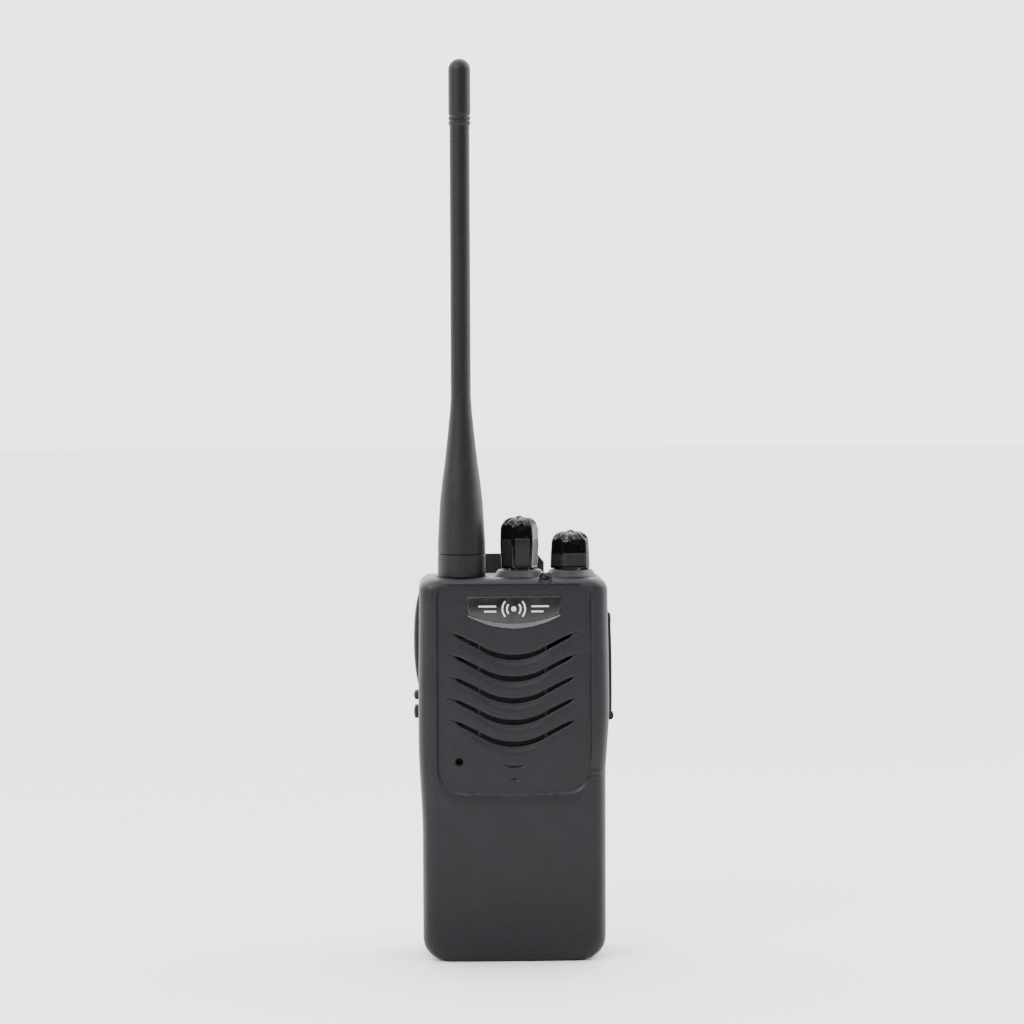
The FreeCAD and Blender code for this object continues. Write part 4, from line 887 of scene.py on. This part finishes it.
def badge_rim(face):
    """The dished rim that runs under the badge, widest in the middle, as a closed strip. It is the same
    plastic as the case, but its material is coloured far lighter: a painted highlight along the rim's upward
    face.
    """
    points = []
    shares = np.linspace(-1, 1, 61)
    for share in shares:
        x = share * (BADGE_LOW_HALF + 0.35)
        z = BADGE_LOW + (BADGE_SIDE - BADGE_LOW) * share ** 2 - 0.06
        wide = 0.30 + 1.05 * (1 - share ** 2)
        proud = 0.20 + 0.36 * (1 - share ** 2)
        points += [(x, face + 0.3, z), (x, face - 0.03, z), (x, face - proud * 0.85, z - wide * 0.82),
                   (x, face - proud, z - wide), (x, face - proud * 0.6, z - wide - 0.12),
                   (x, face + 0.3, z - wide - 0.2)]
    rim = make_piece("badge_rim", points, capped_faces(len(shares), 6), "radio", [RIM_PAINTED_HIGHLIGHT], 30)


def stroke(centre_line, half_width, y_back, y_front):
    """A closed raised line along (x, z) points."""
    line = np.array(centre_line, float)
    step = np.gradient(line, axis=0)
    normal = np.stack([-step[:, 1], step[:, 0]], 1) / np.linalg.norm(step, axis=1)[:, None]
    left, right = line + normal * half_width, line - normal * half_width
    points = []
    for (lx, lz), (rx, rz) in zip(left, right):
        points += [(lx, y_back, lz), (lx, y_front, lz), (rx, y_front, rz), (rx, y_back, rz)]
    return loose_mesh("stroke", points, capped_faces(len(line), 4))


def badge_mark(face):
    """A generic printed mark: a dot with two pairs of broadcast arcs and a short rule on each side."""
    middle, half_line = 103.0, 0.24
    back, front = face + 0.05, face - 0.035
    strokes = []
    for radius in (2.0, 3.3):
        for facing in (0, 180):
            angles = np.radians(facing + np.linspace(-42, 42, 17))
            line = [(radius * math.cos(a), middle + radius * math.sin(a)) for a in angles]
            strokes.append(stroke(line, half_line, back, front))
    for side in (-1, 1):
        for index, reach in enumerate((10.2, 8.6)):
            height = middle + (0.75 if index == 0 else -0.75)
            strokes.append(stroke([(side * 5.1, height), (side * (5.1 + reach) / 1.6, height),
                                   (side * reach, height)], half_line, back, front))
    dot_radius, turns = 0.75, np.linspace(0, TAU, 24, endpoint=False)
    dot = [(dot_radius * math.cos(a), middle + dot_radius * math.sin(a)) for a in turns]
    points = [(x, y, z) for y in (back, front) for x, z in dot]
    mark = make_piece("badge_mark", points, capped_faces(2, len(dot)), "radio", [MARK], 30)
    join_pieces(mark, strokes)


def build_badge():
    """The badge plate, its dished rim and its generic mark."""
    face = -CASE_FRONT + PANEL_DEEP
    # The plate's bevel faces take the second, lighter material: a painted highlight along the badge's edge.
    plate = prism("badge_face", badge_outline, face + 0.65, face - 0.12, [BADGE, BADGE_EDGE_PAINTED_HIGHLIGHT])
    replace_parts(plate, "badge_plate")
    badge_rim(face)
    badge_mark(face - 0.12)


def tilted(piece):
    """Turns a piece built upright at the origin to the lamp's axis in the front top edge."""
    turn = Matrix.Rotation(math.radians(LENS_TILT), 4, "X")
    move = Matrix.Translation(Vector((LENS_X, LENS_AXIS[0], LENS_AXIS[1])) * MM)
    piece.data.transform(move @ turn)
    return piece


def build_lamp():
    """The status lamp's smoked dome and the low bright-edged collar it sits in."""
    dome_radius, dome_base, dome_rise = 1.62, 5.0, 0.95
    dome = [(0.05, -2.9), (1.3, -2.9), (1.3, -1.2), (dome_radius, -1.1), (dome_radius, dome_base)]
    for angle in np.radians(np.linspace(8, 88, 10)):
        dome.append((dome_radius * math.cos(angle), dome_base + dome_rise * math.sin(angle)))
    steps = 64
    lens = make_piece("led_dome", turned_points(dome, 0, 0, steps), capped_faces(len(dome), steps), "radio",
                      [LENS], 50)
    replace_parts(tilted(lens), "led_lens")
    collar = [(1.68, 3.6), (1.68, 4.90), (1.74, 4.98), (1.84, 4.99), (1.93, 4.90), (1.96, 4.6), (1.98, 3.6),
              (1.68, 3.6)]
    faces = grid_faces(len(collar), steps, wrap=True)
    ring = make_piece("led_collar", turned_points(collar, 0, 0, steps), faces, "radio", [CASE_SMOOTH], 50)
    tilted(ring)


build_badge()
build_lamp()


# ---------------------------------------------------------------- talk bar, side keys and jack cover

LIP_THICK, LIP_WIDER, LIP_TALLER = 0.7, 0.3, 0.5
DRAW_ROOT = -27.2
COVER_INNER, COVER_OUTER = 27.95, 28.9
BARREL_R, BARREL_BORE = 1.2, 0.56


def divided(outline, pieces=14):
    """An outline of four arcs of nine points with each straight side between them cut into pieces."""
    line = []
    for index, (a, b) in enumerate(outline):
        line.append((a, b))
        if index % 9 == 8:
            next_a, next_b = outline[(index + 1) % len(outline)]
            for share in np.linspace(0, 1, pieces + 1)[1:-1]:
                line.append((a + (next_a - a) * share, b + (next_b - b) * share))
    return line


def stacked(name, rings, body, materials, sharp=38.0):
    """A closed form stacked along x from (x, y0, y1, z0, z1, corner) outlines. The last outline is drawn
    together on its upright middle line, so that the face can bend along its height."""
    points = []
    for x, y0, y1, z0, z1, corner in rings:
        points += [(x, y, z) for y, z in divided(rounded_rectangle(y0, y1, z0, z1, corner, 9))]
    count = len(points) // len(rings)
    middle = (rings[-1][3] + rings[-1][4]) / 2
    points += [(x, SIDE_Y, middle + 0.8 * (z - middle)) for x, y, z in points[-count:]]
    faces = grid_faces(len(rings) + 1, count, wrap=True)
    faces.append(tuple(range(count)))
    return make_piece(name, points, faces, body, materials, sharp)


def cushion(face, toward, half, low, high, corner, edge, crown):
    """Outlines from a pad's side up over its rounded edge to its slightly domed face at x = face."""
    rings = []
    for angle in np.radians(np.linspace(0, 90, 8)):
        inset = edge * (1 - math.cos(angle))
        x = face + toward * (crown + edge * (1 - math.sin(angle)))
        rings.append((x, inset))
    for share in (0.25, 0.5, 0.75, 1.0):
        rings.append((face + toward * crown * (1 - share) ** 2, edge + share * (half - edge) * 0.62))
    return [(x, SIDE_Y - half + inset, SIDE_Y + half - inset, low + inset, high - inset,
             max(corner - inset, 0.35)) for x, inset in rings]


def draw_in(piece, root, low, high, sag):
    """Bends a side part's outer face in towards the wall, most at its lowest and highest ends.
    root is the x that stays put, low and high are the heights where the face is drawn in by sag."""
    side = math.copysign(1, root)
    for vertex in piece.data.vertices:
        x, z = vertex.co.x / MM, vertex.co.z / MM
        middle = (low + high) / 2
        share = min(abs(z - middle) / (high - middle), 1)
        out = max(side * (x - root), 0)
        vertex.co.x = (root + side * out * (1 - sag * share ** 2.5)) * MM if out > 0 else vertex.co.x


def grip_ribs(face, half, levels):
    """Fine raised ribs across a pad that faces left."""
    ribs = []
    for level in levels:
        points = []
        for y in np.linspace(SIDE_Y - half, SIDE_Y + half, 15):
            fall = 0.16 * ((y - SIDE_Y) / half) ** 6
            points += [(face + 0.8, y, level - 0.42), (face + 0.04 + fall, y, level - 0.20),
                       (face + 0.04 + fall, y, level + 0.20), (face + 0.8, y, level + 0.42)]
        ribs.append(loose_mesh("rib", points, capped_faces(15, 4)))
    return ribs


def build_side_keys():
    """The talk bar and the two keys under it, each with its retaining lip inside the wall."""
    keys = (("ptt_button", "talk_pad", "talk_bar"), ("side_key_1", "upper_key", "key_upper"),
            ("side_key_2", "lower_key", "key_lower"))
    for node, name, body in keys:
        low, high = node_box(node)
        half = (high[1] - low[1]) / 2 - LIP_WIDER
        z_low, z_high = KEY_HEIGHTS[node]
        edge = 0.9 if node == "ptt_button" else 0.55
        rings = [(x, SIDE_Y - half - LIP_WIDER, SIDE_Y + half + LIP_WIDER, z_low - LIP_TALLER,
                  z_high + LIP_TALLER, 0.8) for x in (high[0], high[0] - LIP_THICK)]
        rings.append((high[0] - LIP_THICK, SIDE_Y - half, SIDE_Y + half, z_low, z_high, 1.2))
        rings += cushion(low[0], 1, half, z_low, z_high, 1.2, edge, 0.22)
        piece = stacked(name, rings, body, [SOFT_BLACK])
        if node == "ptt_button":
            join_pieces(piece, grip_ribs(low[0], half - 1.2, np.arange(84.0, 90.6, 1.3)))
            draw_in(piece, DRAW_ROOT, z_low, z_high, 0.75)
        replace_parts(piece, node)


def build_jack_cover():
    """The cover over the two jacks: a soft-edged plate with a finger lip and a bored barrel."""
    top = node_box("jack_cover")[1][2]
    half, edge = SIDE_HALF, 0.5
    rings = [(COVER_INNER, SIDE_Y - half, SIDE_Y + half, HINGE_Z, top, 1.5)]
    for angle in np.radians(np.linspace(0, 90, 7)):
        inset = edge * (1 - math.cos(angle))
        x = COVER_OUTER - edge + edge * math.sin(angle)
        rings.append((x, SIDE_Y - half + inset, SIDE_Y + half - inset, HINGE_Z + inset, top - inset, 1.4))
    for inset, sink in ((1.5, 0.0), (1.75, 0.05), (2.0, 0.2), (2.3, 0.22)):
        rings.append((COVER_OUTER - sink, SIDE_Y - half + inset, SIDE_Y + half - inset,
                      HINGE_Z + inset + 2.6, top - inset - 2.4, 1.0))
    cover = stacked("jack_flap", rings, "jack_door", [SOFT_BLACK])
    lip = []
    for x, inset in ((28.6, 0.0), (29.15, 0.0), (29.26, 0.12), (29.3, 0.35)):
        lip.append((x, SIDE_Y - half + 1.6 + inset, SIDE_Y + half - 1.6 - inset, top - 2.9 + inset,
                    top - 0.3 - inset, 0.7))
    finger = stacked("finger_lip", lip, "jack_door", [SOFT_BLACK])
    barrel = round_cutter((HINGE_X, SIDE_Y - half, HINGE_Z), (0, 1, 0), 2 * half, BARREL_R)
    carve(cover, [barrel], "UNION")
    carve(cover, [round_cutter((HINGE_X, SIDE_Y - half - 1, HINGE_Z), (0, 1, 0), 2 * half + 2, BARREL_BORE)])
    join_pieces(cover, [finger])
    draw_in(cover, 28.0, 2 * (HINGE_Z + 9) - top, top, 0.5)
    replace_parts(cover, "jack_cover")


build_side_keys()
build_jack_cover()


# ---------------------------------------------------------------- battery pack and belt clip

GRIP_LEVELS = (71.0, 73.4, 75.8, 78.2, 80.6)
PACK_CORNER, PACK_EDGE, PACK_WALL = 1.2, 2.8, 1.7
LABEL_HALF, LABEL_Z, LABEL_HALF_HIGH, LABEL_DEEP = 17.2, 45.0, 19.0, 0.45
PAD_X, PAD_Z, PAD_R = 8.0, 11.0, 2.1


def pack_half_width(z):
    """Half the battery pack's width at height z, with rounded feet and slightly rounded upper corners."""
    z = np.asarray(z, float)
    low_half, high_half = HALF_LOW - 0.3, pack_high[0]
    half = low_half + (high_half - low_half) * np.clip((z - 32) / 32, 0, 1)
    return half - sag(FOOT_CORNER, FOOT_CORNER - z) - sag(PACK_CORNER, z - (pack_high[2] - PACK_CORNER))


def pack_back_depth(x, z):
    """How far the pack's back stands in from its rearmost plane: a blank label field and grip grooves."""
    across = np.maximum(np.abs(x) - LABEL_HALF, 0)
    along = np.maximum(np.abs(z - LABEL_Z) - LABEL_HALF_HIGH, 0)
    outside = np.hypot(across, along) - 1.8
    depth = LABEL_DEEP * (1 - smooth_step(outside, -0.35, 0.10))
    grip = (1 - smooth_step(np.abs(x), 21.0, 22.6)) * smooth_step(np.abs(x), 12.5, 13.6)
    for level in GRIP_LEVELS:
        groove = 1 - smooth_step(np.abs(z - level), 0.15, 0.75)
        depth = depth + 0.55 * groove * grip
    return depth


def build_pack_back():
    """The outer half of the battery pack: a rounded tub with a label field, grips and contact wells."""
    split, back = pack_low[1], pack_high[1]
    feet = list(FOOT_CORNER * (1 - np.cos(np.radians(np.linspace(2, 90, 12)))))
    crown = list(pack_high[2] - PACK_CORNER * (1 - np.sin(np.radians(np.linspace(0, 88, 6)))))
    fine = list(np.arange(69.8, 82.0, 0.2))
    levels = feet + list(np.arange(7.6, 22.9, 1.0)) + list(np.arange(23.0, 27.0, 0.2))
    levels += list(np.arange(27.6, 62.6, 1.4)) + list(np.arange(63.0, 67.0, 0.2))
    levels += [68.2, 69.2] + fine + crown
    shares = np.linspace(-1, 1, 150)
    points = []
    for level in levels:
        half = float(pack_half_width(level))
        inset = sag(PACK_EDGE, PACK_EDGE - level) + sag(PACK_EDGE, level - (pack_high[2] - PACK_EDGE))
        inner = half - PACK_EDGE
        x = shares * inner
        y = back - inset - pack_back_depth(x, np.full_like(x, level))
        angles = np.radians(np.linspace(0, 90, 9))[1:]
        rim_y = back - inset - PACK_EDGE
        left = [(-inner - PACK_EDGE * math.sin(a), rim_y + PACK_EDGE * math.cos(a), level) for a in angles]
        left.append((-half, split, level))
        right = [(-px, py, pz) for px, py, pz in left]
        points.append(list(reversed(left)) + list(zip(x, y, np.full_like(x, level))) + right)
    width = len(points[0])
    flat = [point for ring in points for point in ring]
    faces = capped_faces(len(points), width)
    pack = make_piece("battery_back", flat, faces, "battery_pack", [CASE_REAR], 38)
    wells = [round_cutter((x, back + 0.4, PAD_Z), (0, -1, 0), 1.3, PAD_R, mouth=(PAD_R + 0.65, 0.75))
             for x in (-PAD_X, PAD_X)]
    hollow = []
    for z in np.concatenate([np.linspace(1.8, 7, 6), (32, 48, 64, pack_high[2] - PACK_WALL)]):
        hollow.append((float(pack_half_width(z)) - PACK_WALL, z))
    hollow += [(-x, z) for x, z in reversed(hollow)]
    inner_points = [(x, y, z) for y in (split - 1, back - PACK_WALL) for x, z in hollow]
    carve(pack, wells + [loose_mesh("cutter", inner_points, capped_faces(2, len(hollow)))])
    tidy_mesh(pack, 38)
    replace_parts(pack, "battery_outer_case")


def build_clip_ribs():
    """Raised ribs across the clip's lever and a long raised field down its arm."""
    high = node_box("clip_arm")[1]
    back = high[1] - 0.8
    ribs = []
    for level in np.arange(high[2] - 12.5, high[2] - 7.0, 1.5):
        line = [(x, level) for x in np.linspace(-7.2, 7.2, 9)]
        ribs.append(stroke(line, 0.35, back - 0.15, back + 0.32))
    half, low_z, high_z = 6.6, 46.0, 92.0
    middle, half_high = (low_z + high_z) / 2, (high_z - low_z) / 2
    field = rounded_rectangle(-half, half, low_z, high_z, 1.6, 8)
    rings = [(0.0, back - 0.15), (0.0, back + 0.22), (0.25, back + 0.36)]
    points = []
    for inset, y in rings:
        for x, z in field:
            points.append((x * (1 - inset / half), y, middle + (z - middle) * (1 - inset / half_high)))
    faces = capped_faces(len(rings), len(field))
    piece = make_piece("clip_ribs", points, faces, "clip", [CASE_REAR], 35)
    join_pieces(piece, ribs)


build_pack_back()
build_clip_ribs()


# ---------------------------------------------------------------- camera, light and floor

CAMERA_ROLL = -0.25
FRONT_GLOW, BACK_GLOW, TOP_GLOW = 0.09, 3.4, 1.7


def look_at(item, target):
    """Turns a camera or lamp to face a point."""
    away = Vector(target) - item.location
    item.rotation_euler = away.to_track_quat("-Z", "Y").to_euler()


def add_camera():
    """A long lens in front of the radio, a little left of it and a little above its middle."""
    data = bpy.data.cameras.new("camera")
    data.lens = 107.6
    data.sensor_width = 36
    data.clip_start = 0.01
    camera = bpy.data.objects.new("camera", data)
    bpy.context.scene.collection.objects.link(camera)
    camera.location = (-0.028, -0.900, 0.1645)
    look_at(camera, (0.0001, 0.0, 0.1305))
    camera.rotation_euler.rotate_axis("Z", math.radians(CAMERA_ROLL))
    bpy.context.scene.camera = camera


def add_light(name, place, target, size, power):
    """A rectangular soft light aimed at a point."""
    data = bpy.data.lights.new(name, "AREA")
    data.shape = "RECTANGLE"
    data.size, data.size_y = size
    data.energy = power
    light = bpy.data.objects.new(name, data)
    bpy.context.scene.collection.objects.link(light)
    light.location = place
    look_at(light, target)


def add_floor():
    """A plain pale floor that runs on to the horizon. In front of the object it throws back less light
    than it shows: a dim band, a pale band and then dim to the end."""
    points = [(-4000, -2500, 0), (4000, -2500, 0), (4000, 9000, 0), (-4000, 9000, 0)]
    mesh = bpy.data.meshes.new("floor")
    mesh.from_pydata([tuple(p * MM for p in point) for point in points], [], [(0, 1, 2, 3)])
    material = new_material("pale floor", (0.93, 0.93, 0.93), 0.75)
    tone = object_noise(material, 3.0, 2)
    pale = mixed_colour(material, tone, (0.92, 0.92, 0.92), (0.95, 0.95, 0.95))
    away = add_node(material, "ShaderNodeSeparateXYZ", Vector=object_place(material)).outputs["Y"]
    bounced = mixed_colour(material, ramp(material, away, -0.05, -0.20), (0.36, 0.36, 0.36), pale)
    bounced = mixed_colour(material, ramp(material, away, -0.30, -0.52), bounced, (0.06, 0.06, 0.06))
    bounced = mixed_colour(material, ramp(material, away, -0.035, 0.005), bounced, pale)
    path = add_node(material, "ShaderNodeLightPath")
    seen = mixed_colour(material, path.outputs["Is Camera Ray"], bounced, pale)
    connect(material, seen, "Base Color")
    mesh.materials.append(material)
    floor = bpy.data.objects.new("floor", mesh)
    bpy.context.scene.collection.objects.link(floor)


def world_ramp(tree, value, low, high, bottom, top):
    """Maps low..high of a value to bottom..top along an even S."""
    node = tree.nodes.new("ShaderNodeMapRange")
    node.interpolation_type = "SMOOTHSTEP"
    for socket, number in (("From Min", low), ("From Max", high), ("To Min", bottom), ("To Max", top)):
        node.inputs[socket].default_value = number
    tree.links.new(value, node.inputs["Value"])
    return node.outputs["Result"]


def set_world():
    """White light from behind and above, falling off to a dim room in front. The camera sees an even
    pale backdrop all round."""
    world = bpy.data.worlds.new("studio")
    world.use_nodes = True
    tree = world.node_tree
    place = tree.nodes.new("ShaderNodeTexCoord")
    split = tree.nodes.new("ShaderNodeSeparateXYZ")
    tree.links.new(place.outputs["Generated"], split.inputs[0])
    behind = world_ramp(tree, split.outputs["Y"], -0.35, 0.45, FRONT_GLOW, BACK_GLOW)
    above = world_ramp(tree, split.outputs["Z"], 0.22, 0.65, 0.0, TOP_GLOW)
    total = tree.nodes.new("ShaderNodeMath")
    tree.links.new(behind, total.inputs[0])
    tree.links.new(above, total.inputs[1])
    tree.nodes["Background"].inputs["Color"].default_value = (1, 1, 1, 1)
    path = tree.nodes.new("ShaderNodeLightPath")
    backdrop = world_ramp(tree, path.outputs["Is Camera Ray"], 0.0, 1.0, 0.0, BACK_GLOW)
    shown = tree.nodes.new("ShaderNodeMath")
    shown.operation = "MAXIMUM"
    tree.links.new(total.outputs[0], shown.inputs[0])
    tree.links.new(backdrop, shown.inputs[1])
    tree.links.new(shown.outputs[0], tree.nodes["Background"].inputs["Strength"])
    bpy.context.scene.world = world


add_camera()
add_floor()
set_world()
add_light("key", (-0.50, -0.62, 0.66), (0, 0, 0.10), (0.6, 0.45), 6.5)
add_light("right rim", (0.72, 0.12, 0.38), (0, 0, 0.09), (0.55, 0.9), 2.6)
